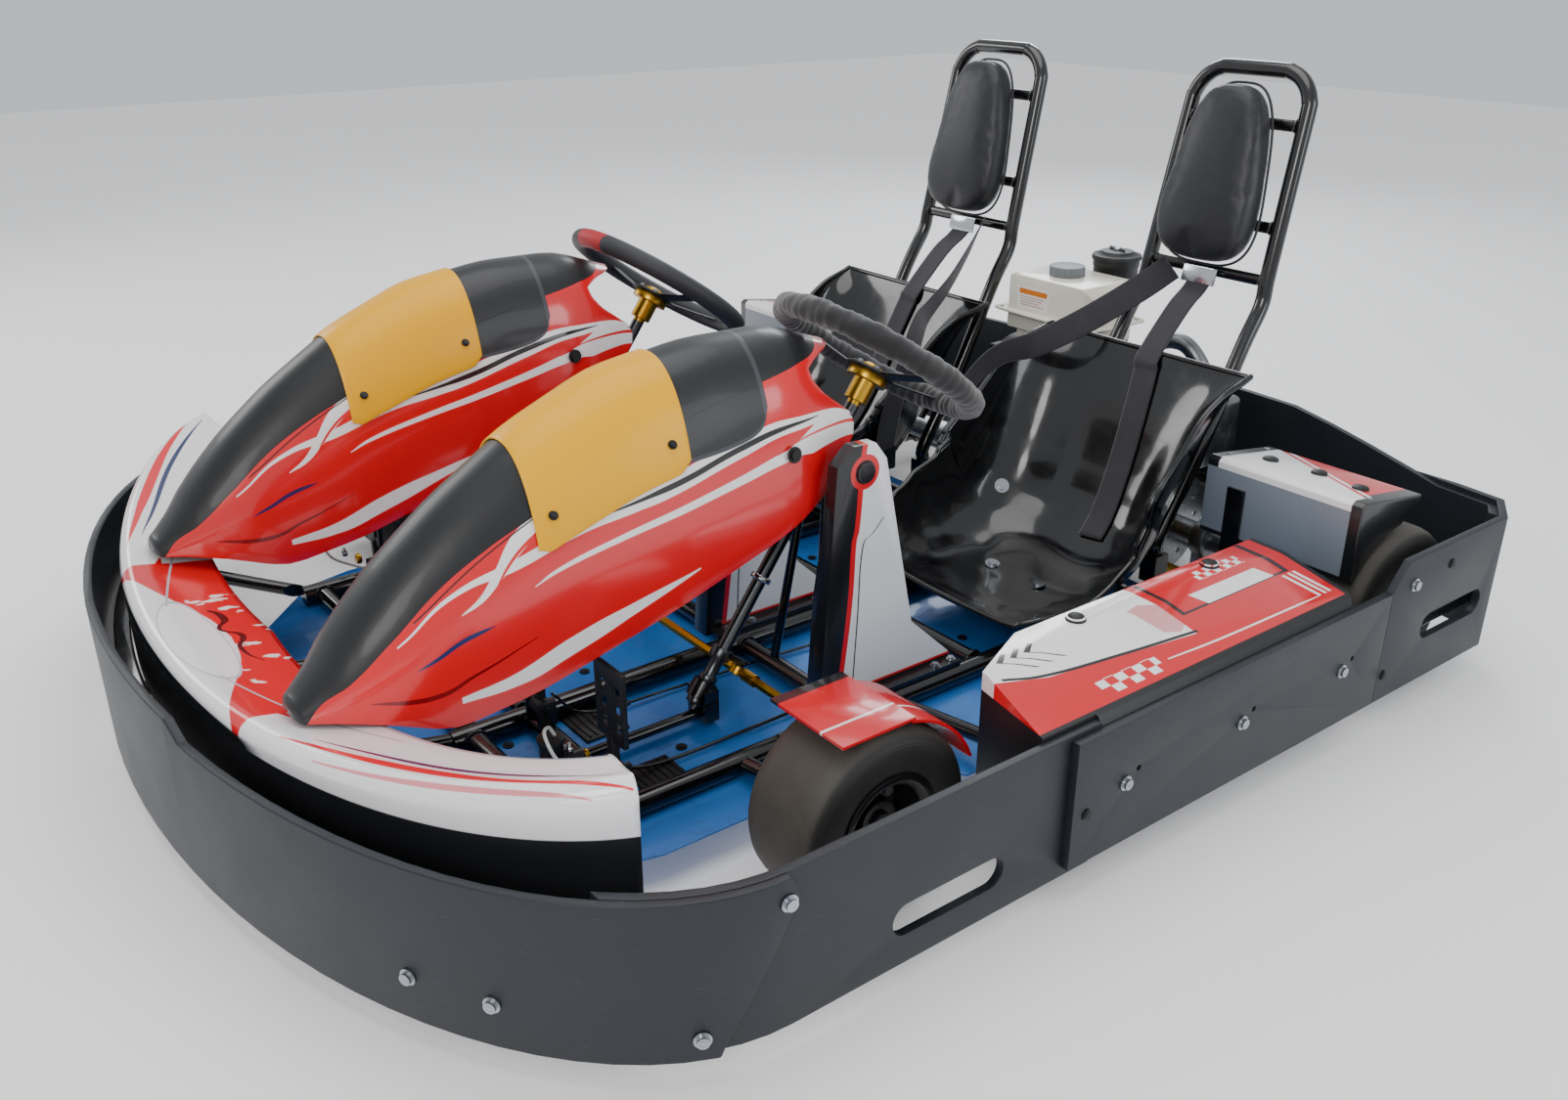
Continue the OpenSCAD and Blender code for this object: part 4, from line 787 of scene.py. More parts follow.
def podPaint():
    # printed film on the side pods, black plastic below
    paint = Paint("podFilm", "pod_graphics", 0.2, Coat_Weight=0.6, Coat_Roughness=0.07)
    x, y, z = paint.xyz()
    side = abs(x)
    film = paint.noise(60, 3)
    top = z.above(238, 1)
    white = paint.patch([(640, -150), (716, -150), (745, -60), (776, 205), (700, 205), (660, 190),
                         (640, 190)], "xy")
    split = paint.ribbon(y, side, [(-118, 722, 2.4), (-60, 741, 2.4), (60, 757, 2.4), (196, 771, 2.4)])
    bracket = abs(side - 690).most(abs(y - 322) * 0.42).between(46, 50, 1) * side.below(742, 1)
    box = paint.patch([(652, 205), (742, 205), (742, 446), (652, 446)], "xy")
    squareX = (((side * (1 / 11)).floor() + (y * (1 / 11)).floor()) * 0.5)
    checks = (squareX - squareX.floor()).above(0.25, 0.02)
    small = paint.patch([(672, 300), (694, 300), (694, 402), (672, 402)], "xy") * checks
    wide = ((side * (1 / 13)).floor() + (y * (1 / 17)).floor()) * 0.5
    bigOne = paint.patch([(779, -16), (805, -16), (805, 96), (779, 96)],
                         "xy") * (wide - wide.floor()).above(0.25, 0.02)
    band = paint.patch([(712, 250), (738, 262), (738, 408), (712, 396)], "xy")
    stripes = None
    for at in (428, 441, 452):
        one = paint.patch([(744, at - 10), (800, at), (800, at + 6), (744, at - 4)], "xy")
        stripes = one if stripes is None else stripes.most(one)
    chevrons = None
    for dy in (0, -24, -48):
        arm = paint.patch([(679, -30 + dy), (683, -24 + dy), (697, -43 + dy), (693, -51 + dy)], "xy")
        leg = paint.patch([(693, -51 + dy), (697, -43 + dy), (727, -4 + dy), (724, -12 + dy)], "xy")
        both = arm.most(leg)
        chevrons = both if chevrons is None else chevrons.most(both)
    zig = paint.patch([(696, 141), (690, 180), (722, 214), (736, 236), (762, 172), (752, 150)], "xy")
    thin = paint.ribbon(y, side, [(110, 792, 1), (220, 797, 1.5), (360, 799, 1.5), (430, 800, 0.5)])
    outer = side.above(815, 1)
    red = y.below(469, 1)
    colour = paint.fill("#d9111d", (film * 0.25, "#c40d18"), (white, "#f3f3f4"),
                        (zig * 0.6 * white, "#d9111d"),
                        (split, "#17181b"), (chevrons, "#1b1c20"), (box * bracket, "#18191c"),
                        (small, "#f2f2f3"),
                        (band, "#f4f4f5"), (bigOne, "#f4f4f5"), (stripes, "#f4f4f5"), (thin, "#f4f4f5"),
                        (side.below(650, 1), "#1a1b1e"), (outer, "#17181b"), (1 - red, "#17181b"),
                        (1 - top, "#17181b"))
    plain = top * (1 - outer) * red
    paint.feed(Base_Color=colour, Roughness=(1 - plain) * 0.25 + film * 0.08 + 0.15, Coat_Weight=plain * 0.6)
    paint.bumps(paint.noise(1.2, 3) * (1 - plain), 0.1, 0.0004)
    return paint


def coverPaint():
    # rear covers: grey front, white and red film on top
    paint = Paint("coverFilm", "cover_graphics", 0.3, Coat_Weight=0.35, Coat_Roughness=0.12)
    x, y, z = paint.xyz()
    side = abs(x)
    top = z.above(paint.follow(y, [(562, 318), (600, 321), (724, 306)]), 1)
    film = paint.noise(50, 3)
    white = (side * 0.55 + y).below(1010, 1)
    stripe = abs(side * 0.55 + y - 1022).below(4, 0.7)
    red = side.between(530, 742, 1) * y.above(585, 1)
    colour = paint.fill("#7f8994", (film * 0.3, "#6d7782"), (top, "#1a1b1f"), (top * red, "#d9131f"),
                        (top * white * side.above(520, 1), "#f2f2f3"), (top * stripe, "#f4f4f5"),
                        (side.above(750, 2), "#1a1b1e"), (z.below(214, 2), "#1a1b1e"))
    paint.feed(Base_Color=colour, Roughness=film * 0.14 + 0.26)
    paint.bumps(paint.noise(1.2, 3), 0.06, 0.0004)
    return paint


def guardPaint():
    # side guards: black front, red border, white panel with a thin black line
    paint = Paint("guardFilm", "guard_white", 0.28, Coat_Weight=0.3, Coat_Roughness=0.1)
    x, y, z = paint.xyz()
    film = paint.noise(50, 3)
    front = paint.follow(z, [(88, -112), (130, -106), (250, -92), (326, -88), (340, -84), (452, -74),
                             (470, -70)])
    white = y.above(front, 1) * z.above(96, 1)
    border = y.above(front - 9, 1) * z.above(90, 1)
    step = paint.ribbon(z, y, [(100, -90, 1.2), (200, -84, 1.2), (318, -76, 1.2), (330, -60, 1.2),
                               (350, -40, 1.2)])
    foot = z.below(92, 1)
    hole = ((y + 76) ** 2 + (z - 424) ** 2) ** 0.5
    colour = paint.fill("#131417", (border, "#d9131f"), (white, "#eeeff1"), (film * white * 0.2, "#dcdee3"),
                        (step, "#1c1d20"), (hole.below(25, 1), "#d9131f"), (hole.below(17, 1), "#131417"),
                        (foot, "#141518"))
    inside = abs(x).between(300, 392, 1).most(abs(x).below(106, 1))
    paint.feed(Base_Color=paint.fill(colour, (inside, "#141518")), Roughness=film * 0.15 + 0.25)
    paint.bumps(paint.noise(1.1, 3), 0.06, 0.0004)
    return paint


def floorPaint():
    # painted sheet floor with dust, boot marks and a light rubbed grain
    paint = Paint("floorBlue", "floor_blue", 0.3, 0.15, Coat_Weight=0.25)
    wide = paint.noise(160, 5, 0.6)
    marks = paint.noise(22, 6, 0.7, (1, 0.35, 1)).above(0.6, 0.12)
    colour = paint.fill("#0f62b4", (wide.above(0.5, 0.5) * 0.5, "#2f86d2"), (marks * 0.35, "#0a3f7c"),
                        (paint.noise(4, 4).above(0.7, 0.1) * 0.3, "#7fb2df"))
    paint.feed(Base_Color=colour, Roughness=wide * 0.25 + marks * 0.2 + 0.2)
    paint.bumps(paint.noise(3, 4), 0.08, 0.0005)
    return paint


def tyrePaint():
    # slick tyre rubber: dusty grey tread, darker walls with fine moulded rings
    paint = Paint("tyreRubber", "tyre_rubber", 0.62)
    x, y, z = paint.xyz()
    frontR = ((y + 300) ** 2 + (z - 127) ** 2) ** 0.5
    rearR = ((y - 690) ** 2 + (z - 132) ** 2) ** 0.5
    front = y.below(200, 1)
    radius = front * frontR + (1 - front) * (rearR - 5)
    dust = paint.noise(35, 6, 0.65)
    grit = paint.noise(2.4, 4)
    tread = radius.above(119, 5)
    rings = (radius * 1.6).wave() * (1 - tread)
    colour = paint.fill("#1d1d1e", (dust * 0.55, "#35332f"), (tread * 0.55, "#45423d"),
                        (tread * dust * 0.6, "#5d5950"),
                        (grit.above(0.66, 0.1) * 0.3, "#0e0e0f"))
    paint.feed(Base_Color=colour, Roughness=dust * 0.25 + 0.5)
    paint.bumps(grit + rings * 0.5, 0.22, 0.0006)
    return paint


def vinylPaint():
    # soft vinyl of the headrests
    paint = Paint("headrestVinyl", "headrest_vinyl", 0.42, Sheen_Weight=0.1)
    grain = paint.cells(2.1)
    crease = paint.noise(14, 4, 0.6)
    colour = paint.fill("#131418", (crease * 0.5, "#22242a"))
    paint.feed(Base_Color=colour, Roughness=crease * 0.2 + 0.32)
    paint.bumps(grain, 0.12, 0.0004)
    paint.bumps(crease, 0.15, 0.002)
    return paint


def clothPaint():
    # stretched black fabric over the left wheel
    paint = Paint("wheelCloth", "wheel_cover", 0.8, Sheen_Weight=0.5, Sheen_Roughness=0.5)
    weave = (paint.along((1, 0.3, 0)) * 4.2).wave()
    cross = (paint.along((0, 1, 0.6)) * 4.2).wave()
    fuzz = paint.noise(6, 5, 0.7)
    paint.feed(Base_Color=paint.fill("#0b0b0d", (fuzz * 0.6, "#1c1c20")), Roughness=fuzz * 0.15 + 0.75)
    paint.bumps(weave * cross + fuzz, 0.3, 0.0006)
    return paint


def webbingPaint():
    # flat woven strap: ribs along it come from the mesh's own coordinates
    paint = Paint("beltWebbing", "webbing", 0.7, Sheen_Weight=0.3)
    uv = paint.add("ShaderNodeUVMap", {"uv_map": "strap"}).outputs[0]
    parts = paint.add("ShaderNodeSeparateXYZ", None, {0: uv})
    across, down = Wire(paint, parts.outputs[0]), Wire(paint, parts.outputs[1])
    ribs = (across * 88).wave()
    weave = (down * 2600).wave()
    dust = paint.noise(30, 4)
    edge = abs(across - 0.5).above(0.44, 0.02)
    colour = paint.fill("#1d1b22", (ribs.above(0.2, 1) * 0.4, "#2e2b35"), (edge * 0.6, "#131217"),
                        (dust.above(0.55, 0.3) * 0.3, "#3a3640"))
    paint.feed(Base_Color=colour, Roughness=dust * 0.2 + 0.6)
    paint.bumps(ribs + weave * 0.5, 0.3, 0.0006)
    return paint


def platePaint():
    paint = Paint("plateYellow", "plate_yellow", 0.5, Specular_IOR_Level=0.25, Coat_Weight=0.05,
                  Coat_Roughness=0.2)
    wide = paint.noise(40, 4)
    scratch = paint.noise(9, 6, 0.7, (5, 1, 1)).above(0.68, 0.06)
    paint.feed(Base_Color=paint.fill("#f2b000", (wide * 0.4, "#e6a200"), (scratch * 0.2, "#f8c838")),
               Roughness=wide * 0.15 + 0.25)
    paint.bumps(wide + scratch * 0.3, 0.08, 0.0008)
    return paint


def foamPaint():
    # foam rim of the right wheel with its red mark at the top
    paint = Paint("wheelFoam", "wheel_foam", 0.55)
    x, y, z = paint.xyz()
    grit = paint.noise(2.6, 4)
    mark = abs(x + seatX).below(36, 1.5) * z.above(600, 2)
    colour = paint.fill("#26272a", (grit * 0.4, "#3c3d41"), (mark, "#a8131c"))
    paint.feed(Base_Color=colour, Roughness=grit * 0.2 + 0.45)
    paint.bumps(grit, 0.2, 0.0006)
    return paint


def shaftPaint():
    # steering column: gold hub at the top, dark plated steel below
    paint = Paint("columnSteel", "gold_anodised", 0.28, 1.0)
    down = paint.along((0, 0.587785, 0.809017), (0, 33, 512))
    hub = down.above(-50, 1)
    line = paint.noise(3, 4, 0.6, (8, 1, 1))
    paint.feed(Base_Color=paint.fill("#4d4f52", (line * 0.4, "#7b7e82"), (hub, "#c79a35"),
                                     (hub * line * 0.4, "#a97f24")),
               Roughness=line * 0.2 + 0.2)
    paint.bumps(line, 0.06, 0.0003)
    return paint


def tankPaint():
    # cream tank with a plain two-colour sticker
    paint = Paint("tankCream", "tank_cream", 0.3, Coat_Weight=0.4, Coat_Roughness=0.1)
    x, y, z = paint.xyz()
    wide = paint.noise(40, 4)
    face = y.below(716, 1)
    label = face * x.between(-70, 8, 0.6) * z.between(436, 476, 0.6)
    head = face * x.between(-66, 4, 0.6) * z.between(462, 472, 0.6)
    rows = None
    for at in (441, 446, 451, 456):
        one = z.between(at, at + 1.8, 0.6) * x.between(-62, -2 - (at % 3) * 6, 0.6) * face
        rows = one if rows is None else rows.most(one)
    colour = paint.fill("#e8e4d3", (wide * 0.25, "#d6d1bc"), (label, "#f4f1ea"), (head, "#dd7a1d"),
                        (rows, "#b9836a"))
    paint.feed(Base_Color=colour, Roughness=wide * 0.12 + 0.24)
    paint.bumps(wide, 0.05, 0.001)
    return paint


def fenderPaint():
    paint = Paint("fenderFilm", "fender_red", 0.25, Coat_Weight=0.5, Coat_Roughness=0.08)
    x, y, z = paint.xyz()
    film = paint.noise(30, 3)
    edge = abs(x).between(690, 694, 0.6) * z.above(200, 1)
    colour = paint.fill("#d9131f", (film * 0.3, "#bd0e19"), (edge, "#efefef"),
                        (abs(x).below(612, 1), "#151619"))
    paint.feed(Base_Color=colour, Roughness=film * 0.1 + 0.2)
    paint.bumps(film, 0.05, 0.0005)
    return paint


finish = {
    "tube": glossPaint("blackTube", "black_tube", "#0b0b0d"),
    "strip": moulded("bumperPlastic", "bumper_plastic", "#161b22", 0.46, 0.8, 0.12, 0.2),
    "zinc": metalled("zincPlate", "zinc", "#b4b9bf", 0.28, 1.0, (1, 1, 1), 2.0),
    "nose": nosePaint(),
    "fairing": fairingPaint(),
    "plate": platePaint(),
    "pod": podPaint(),
    "cover": coverPaint(),
    "seat": glossPaint("seatShell", "seat_black", "#08090b", 0.12),
    "vinyl": vinylPaint(),
    "belt": webbingPaint(),
    "guard": guardPaint(),
    "engine": metalled("castMetal", "engine_metal", "#8f9194", 0.45, 0.8, (1, 1, 1), 1.6),
    "filter": moulded("filterBlack", "filter_black", "#121315", 0.5),
    "tank": tankPaint(),
    "exhaust": metalled("exhaustSteel", "exhaust_steel", "#8d8f92", 0.34, 1.0, (1, 1, 4), 2.5),
    "bearing": metalled("bearingSteel", "bearing_steel", "#8b8e92", 0.35),
    "pedal": moulded("pedalBlack", "pedal_black", "#15161a", 0.42),
    "caliper": metalled("caliperGold", "caliper_gold", "#c19a32", 0.35, 0.9),
    "chain": metalled("chainSteel", "chain_steel", "#5d5f62", 0.4, 1.0),
    "cloth": clothPaint(),
    "foam": foamPaint(),
    "shaft": shaftPaint(),
    "gold": metalled("goldRod", "gold_anodised", "#c9992b", 0.3, 1.0, (6, 1, 1)),
    "knuckle": metalled("knuckleSteel", "knuckle_steel", "#3c3d40", 0.45, 0.9),
    "fender": fenderPaint(),
    "rim": moulded("rimBlack", "rim_black", "#141416", 0.35),
    "tyre": tyrePaint(),
    "disc": metalled("discSteel", "disc_steel", "#9ea2a6", 0.25, 1.0, (1, 6, 6), 1.5),
    "cap": moulded("capGrey", "cap_grey", "#6c7176", 0.45),
    "floor": floorPaint(),
    "shade": moulded("plainBlack", "pedal_black", "#0d0e10", 0.5),
    "chrome": metalled("chromeFitting", "zinc", "#d4d8dc", 0.16, 1.0),
    "white": moulded("whiteCable", "guard_white", "#d9d9d6", 0.4),
}
print("finishes made")


# ---- carried-over metal and plastic parts: own shape, edges rounded ----
easedParts = [
    ("frame_rails", "tube", 0, 0), ("frame_crossbars", "tube", 0, 0), ("chassis_frame", "tube", 0, 0),
    ("bumper_ring", "tube", 3, 3), ("front_bumper_strip", "strip", 2.2, 3),
    ("corner_strips", "strip", 2.2, 3),
    ("side_rear_strips", "strip", 2.2, 3), ("left_side_pod", "pod", 6, 4), ("right_side_pod", "pod", 6, 4),
    ("rear_covers", "cover", 3, 3), ("left_leg_guards", "guard", 3.5, 3),
    ("right_leg_guards", "guard", 3.5, 3),
    ("engine", "engine", 3, 2), ("fuel_tank", "tank", 7, 4), ("fuel_cap", "cap", 1, 2),
    ("axle_bearings", "bearing", 0.8, 2), ("pedal_stands", "pedal", 1, 2), ("brake_caliper", "caliper", 2, 2),
    ("brake_disc", "disc", 0.5, 1), ("rear_axle", "bearing", 0.8, 2), ("axle_sprocket", "chain", 0, 0),
    ("clutch_sprocket", "chain", 0, 0), ("left_front_rim", "rim", 1, 2), ("right_front_rim", "rim", 1, 2),
    ("rear_rims", "rim", 1, 2), ("left_knuckle", "knuckle", 0.8, 2), ("right_knuckle", "knuckle", 0.8, 2),
    ("left_fender", "fender", 1.5, 2), ("right_fender", "fender", 1.5, 2), ("centre_link", "gold", 0, 0),
    ("left_tie_rod", "gold", 0, 0), ("right_tie_rod", "gold", 0, 0), ("left_steering_shaft", "shaft", 0.8, 2),
    ("right_steering_shaft", "shaft", 0.8, 2), ("left_accelerator", "pedal", 1.2, 2),
    ("right_accelerator", "pedal", 1.2, 2), ("left_brake_pedal", "pedal", 1.2, 2),
    ("right_brake_pedal", "pedal", 1.2, 2), ("floor_pan", "floor", 1, 2),
]
for part, key, width, segments in easedParts:
    mount(eased(part, finish[key], width, segments), nodes[part]["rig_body"], finish[key])
print("frame, strips and running parts done")


# ---- rules of the moulded shapes, in millimetres ----
def runAt(pairs, t):
    at = min(max(bisect.bisect_right([p[0] for p in pairs], t), 1), len(pairs) - 1)
    (a, b), (c, d) = pairs[at - 1], pairs[at]
    return b + (d - b) * (t - a) / (c - a)


def smoothRun(pairs, t):
    return (runAt(pairs, max(t - 0.03, 0)) + 2 * runAt(pairs, t) + runAt(pairs, min(t + 0.03, 1))) / 4


def mixed(a, b, t):
    return a + (b - a) * t


fairing = {
    "y0": -826, "y1": -38, "wall": 3.6, "rows": 110, "columns": 84,
    "ridge": [(0, 277), (0.06, 346), (0.14, 412), (0.24, 476), (0.38, 545), (0.53, 594), (0.70, 613),
              (0.86, 611), (1, 572)],
    "hem": [(0, 264), (0.06, 260), (0.1, 253), (0.2, 226), (0.34, 246), (0.55, 292), (0.8, 350), (1, 420)],
    "waist": [(0, 30), (0.06, 62), (0.16, 86), (0.34, 98), (0.6, 104), (0.85, 96), (1, 60)],
    "tail": [(0, -58), (16, -66), (24, -82), (32, -112), (41, -146), (48, -140), (55, -118), (62, -84),
             (69, -52),
             (75, -42), (81, -44), (86, -70), (90, -120)],
}


def fairPoint(t, a, w=0.0):
    ridge = smoothRun(fairing["ridge"], t) - w
    hem = smoothRun(fairing["hem"], t)
    half = smoothRun(fairing["waist"], t) - w
    c, s = math.cos(math.radians(a)), math.sin(math.radians(a))
    return (half * math.copysign(abs(s) ** 0.9, s), mixed(fairing["y0"] + 2 * w, fairing["y1"], t),
            hem + (ridge - hem) * abs(c) ** 0.75)


def makeFairings():
    rows = []
    columns = [-90 + 180 * j / fairing["columns"] for j in range(fairing["columns"] + 1)]
    length = fairing["y1"] - fairing["y0"]
    for grow, step in ((0.15, -9), (0.55, -8), (0.82, -5), (0.95, -2)):
        rows.append([(seatX + p[0] * grow, p[1] + step, 268 + (p[2] - 268) * grow) for p in
                     (fairPoint(0, a) for a in columns)])
    for i in range(fairing["rows"] + 1):
        row = []
        for a in columns:
            end = smoothRun(fairing["tail"], abs(a))
            t = (i / fairing["rows"]) * (end - fairing["y0"]) / length
            x, y, z = fairPoint(t, a)
            row.append((seatX + x, y, z))
        rows.append(row)
    piece = skin("leftFairing", rows, finish["fairing"])
    tidyMesh(piece, 0.0002, True)
    shape(piece, "SOLIDIFY", thickness=fairing["wall"] * mm, offset=-1)
    shape(piece, "BEVEL", width=1.2 * mm, segments=2, limit_method="ANGLE", angle_limit=0.9)
    settle(piece)
    mount(piece, "chassis", finish["fairing"], "left_fairing")
    other = mirrored(piece, "rightFairing")
    mount(other, "chassis", finish["fairing"], "right_fairing")


def makePlates():
    # bent yellow plates over the fairings, with rounded corners and two screws at each side
    plates = []
    spots, ways = [], []
    for s in (1, -1):
        rows = []
        for i in range(33):
            share = i / 32
            t = mixed(0.355, 0.625, share)
            pull = 3.2 * max(0, abs(share - 0.5) * 2 - 0.86) / 0.14
            row = []
            for j in range(49):
                a = (-62 + 124 * j / 48) * (1 - pull / 70)
                x, y, z = fairPoint(t, a)
                c = math.cos(math.radians(a))
                lift = 4.2
                row.append((s * (seatX + x * (1 + lift / 90)), y, z + lift * (0.35 + 0.65 * c)))
            rows.append(row)
        piece = skin("plate", rows, finish["plate"])
        tidyMesh(piece, 0.00001, True)
        shape(piece, "SOLIDIFY", thickness=3 * mm, offset=-1)
        shape(piece, "BEVEL", width=0.9 * mm, segments=2, limit_method="ANGLE", angle_limit=0.9)
        plates.append(settle(piece))
        for t, a in ((0.385, 52), (0.595, 52), (0.385, -52), (0.595, -52)):
            x, y, z = fairPoint(t, a)
            side = math.copysign(1, a)
            spots.append((s * (seatX + x * 1.05), y, z + 3.4))
            ways.append((s * side * 0.75, 0, 0.62))
    mount(joined("numberPlates", plates), "chassis", finish["plate"], "number_plates")
    heads = screwTree("plateScrews", finish["shade"]).make("plateScrews", spots, ways, washer=0.006,
                                                           head=0.0042, high=0.002)
    mount(heads, "chassis", finish["shade"])
    side = screwTree("fairingScrews", finish["shade"])
    spots = [(s * (seatX + e * 96.5), -176, 463) for s in (1, -1) for e in (1, -1)]
    ways = [(s * e, 0, 0.12) for s in (1, -1) for e in (1, -1)]
    mount(side.make("fairingScrews", spots, ways, washer=0.011, head=0.007, high=0.004), "chassis",
          finish["shade"])


nose = {"from": 14, "to": 166, "steps": 150, "wall": 3.4, "in": 49.9, "half": 845, "arcY": -520, "depth": 440}


def nosePoint(a, d, z):
    c, s = math.cos(math.radians(a)), math.sin(math.radians(a))
    return ((nose["half"] - nose["in"] - d) * c * 0.94,
            nose["arcY"] - 22 - (nose["depth"] - 22 - nose["in"] - d) * s, z)


def noseRow(a):
    c = abs(math.cos(math.radians(a)))
    h, deep = 252 + 74 * c ** 2.2, 150 - 50 * c
    line = [(0, 139), (0, 160), (0, 190), (0, h - 26), (1.5, h - 15), (5, h - 8), (10, h - 3.4), (18, h),
            (deep * 0.3, h - 4), (deep * 0.55, h - 12), (deep * 0.8, h - 18), (deep, h - 24)]
    return [nosePoint(a, d, z) for d, z in line]


def makeNose():
    rows = []
    for i in range(nose["steps"] + 1):
        a = mixed(nose["from"], nose["to"], i / nose["steps"])
        rows.append([tuple(p) for p in smoothPath(noseRow(a), 3)])
    piece = skin("noseTop", rows, finish["nose"])
    tidyMesh(piece, 0.00001, True)
    up = sum(p.normal.z * p.area for p in piece.data.polygons)
    if up < 0:
        piece.data.flip_normals()
    shape(piece, "SOLIDIFY", thickness=nose["wall"] * mm, offset=-1)
    settle(piece)
    ends = []
    for a in (nose["from"], nose["to"]):
        row = [tuple(p) for p in smoothPath(noseRow(a), 3)]
        back = nosePoint(a, 92, 176)
        low = nosePoint(a, 26, 140)
        count = len(row) + 2
        shift = -4 if a < 90 else 4
        ring = row + [back, low]
        near = [(p[0], p[1], p[2]) for p in ring]
        far = [(p[0] + shift, p[1] - 3, p[2]) for p in ring]
        faces = [tuple(range(count)), tuple(range(count, 2 * count))[::-1]]
        faces += [(j, (j + 1) % count, (j + 1) % count + count, j + count) for j in range(count)]
        end = place("noseEnd", near + far, faces, finish["nose"])
        tidyMesh(end, 0.00001, True)
        shape(end, "BEVEL", width=2.2 * mm, segments=3, limit_method="ANGLE", angle_limit=0.9)
        ends.append(settle(end))
    mount(joined("nosePanel", [piece] + ends), "chassis", finish["nose"], "nose_panel")


makeFairings()
makePlates()
makeNose()
print("fairings, plates and nose done")

# ---- seats ----
seat = {
    "half": 196, "wall": 6, "rows": 84, "columns": 76, "rim": 5.0,
    "line": [(176, 128), (236, 104), (330, 96), (425, 100), (505, 138), (556, 214), (598, 304), (632, 386),
             (666, 458)],
    "inner": [(0, 60), (0.15, 130), (0.35, 170), (0.6, 190), (0.85, 110), (1, 12)],
    "outer": [(0, 6), (0.25, 30), (0.45, 84), (0.62, 128), (0.85, 84), (1, 4)],
    "wide": [(0, 0.84), (0.2, 0.95), (0.5, 1), (1, 1.04)],
}


def seatRaw(t):
    s = t * (len(seat["line"]) - 1)
    i = min(int(s), len(seat["line"]) - 2)
    return Vector(seat["line"][i]).lerp(Vector(seat["line"][i + 1]), s - i)


def seatMid(t):
    h = 0.8 / (len(seat["line"]) - 1)
    a, b = max(t - h, 0), min(t + h, 1)
    return (seatRaw(a) + seatRaw(b) + 2 * seatRaw((a + t) / 2) + 2 * seatRaw((b + t) / 2)) / 6


def seatPoint(t, a, w=0.0):
    m = seatMid(t)
    d = (seatMid(min(t + 0.02, 1)) - seatMid(max(t - 0.02, 0))).normalized()
    n = Vector((-d.y, d.x))
    c = (1 - math.cos(math.radians(a))) ** 1.5
    rise = smoothRun(seat["inner"] if a < 0 else seat["outer"], t)
    p = m + n * (rise * c - w * (1 - c))
    return Vector((math.sin(math.radians(a)) * (seat["half"] * runAt(seat["wide"], t) + w), p.x, p.y))


def seatSkinPoint(t, a, w=0.0):
    # the moulded flutes of the back and the thigh wells
    flute = math.exp(-((t - 0.66) / 0.13) ** 2) * math.exp(-((abs(a) - 36) / 9) ** 2) * 3.2
    well = math.exp(-((t - 0.2) / 0.12) ** 2) * math.exp(-((abs(a) - 34) / 12) ** 2) * -2.4
    return seatPoint(t, a, w - flute - well)


def makeSeats():
    rows, columns = seat["rows"], seat["columns"]
    angles = [-90 + 180 * j / columns for j in range(columns + 1)]
    inner = [[seatSkinPoint(i / rows, a) for a in angles] for i in range(rows + 1)]
    outer = [[seatPoint(i / rows, a, seat["wall"]) for a in angles] for i in range(rows + 1)]
    loops = [ins + outs[::-1] for ins, outs in zip(inner, outer)]
    shell = skin("seatShell", [[(seatX + p[0], p[1], p[2]) for p in loop] for loop in loops], finish["seat"],
                 closed=True)
    tidyMesh(shell, 0.00001, True)
    # rolled rim all round
    half = seat["wall"] / 2
    edge = [seatPoint(i / 40, 90, half) for i in range(41)]
    edge += [seatPoint(1, 90 - 180 * j / 40, half) for j in range(1, 41)]
    edge += [seatPoint(1 - i / 40, -90, half) for i in range(1, 41)]
    edge += [seatPoint(0, -90 + 180 * j / 40, half) for j in range(1, 40)]
    rim = tube("seatRim", [(seatX + p[0], p[1], p[2]) for p in edge], seat["rim"], finish["seat"], 3, 12,
               True)
    tidyMesh(rim, 0.00001, True)
    left = joined("leftSeatShell", [shell, rim])
    left.data.polygons.foreach_set("use_smooth", [True] * len(left.data.polygons))
    mount(left, "chassis", finish["seat"], "left_seat")
    right = mirrored(left, "rightSeatShell")
    mount(right, "chassis", finish["seat"], "right_seat")
    spots, ways = [], []
    for s in (1, -1):
        for t, a in ((0.52, -50), (0.52, 50), (0.3, -16), (0.3, 16)):
            p = seatPoint(t, a)
            q = seatPoint(t, a, -10)
            spots.append((s * (seatX + p.x), p.y, p.z))
            ways.append((s * (q.x - p.x), q.y - p.y, q.z - p.z))
    bolts = screwTree("seatBolts", finish["zinc"]).make("seatBolts", spots, ways, washer=0.013, head=0.0075,
                                                        high=0.004)
    mount(bolts, "chassis", finish["zinc"])


# ---- roll hoops ----
hoop = {"lean": 12.4, "kinkY": 785, "kinkZ": 540, "long": 349, "topHalf": 113, "bend": 62, "foot": 250,
        "radius": 13, "bars": (20, 104, 266)}


def hoopUp(x, along, out=0.0):
    lean = math.radians(hoop["lean"])
    return Vector((x, hoop["kinkY"] + along * math.sin(lean) + out * math.cos(lean),
                   hoop["kinkZ"] + along * math.cos(lean) - out * math.sin(lean)))


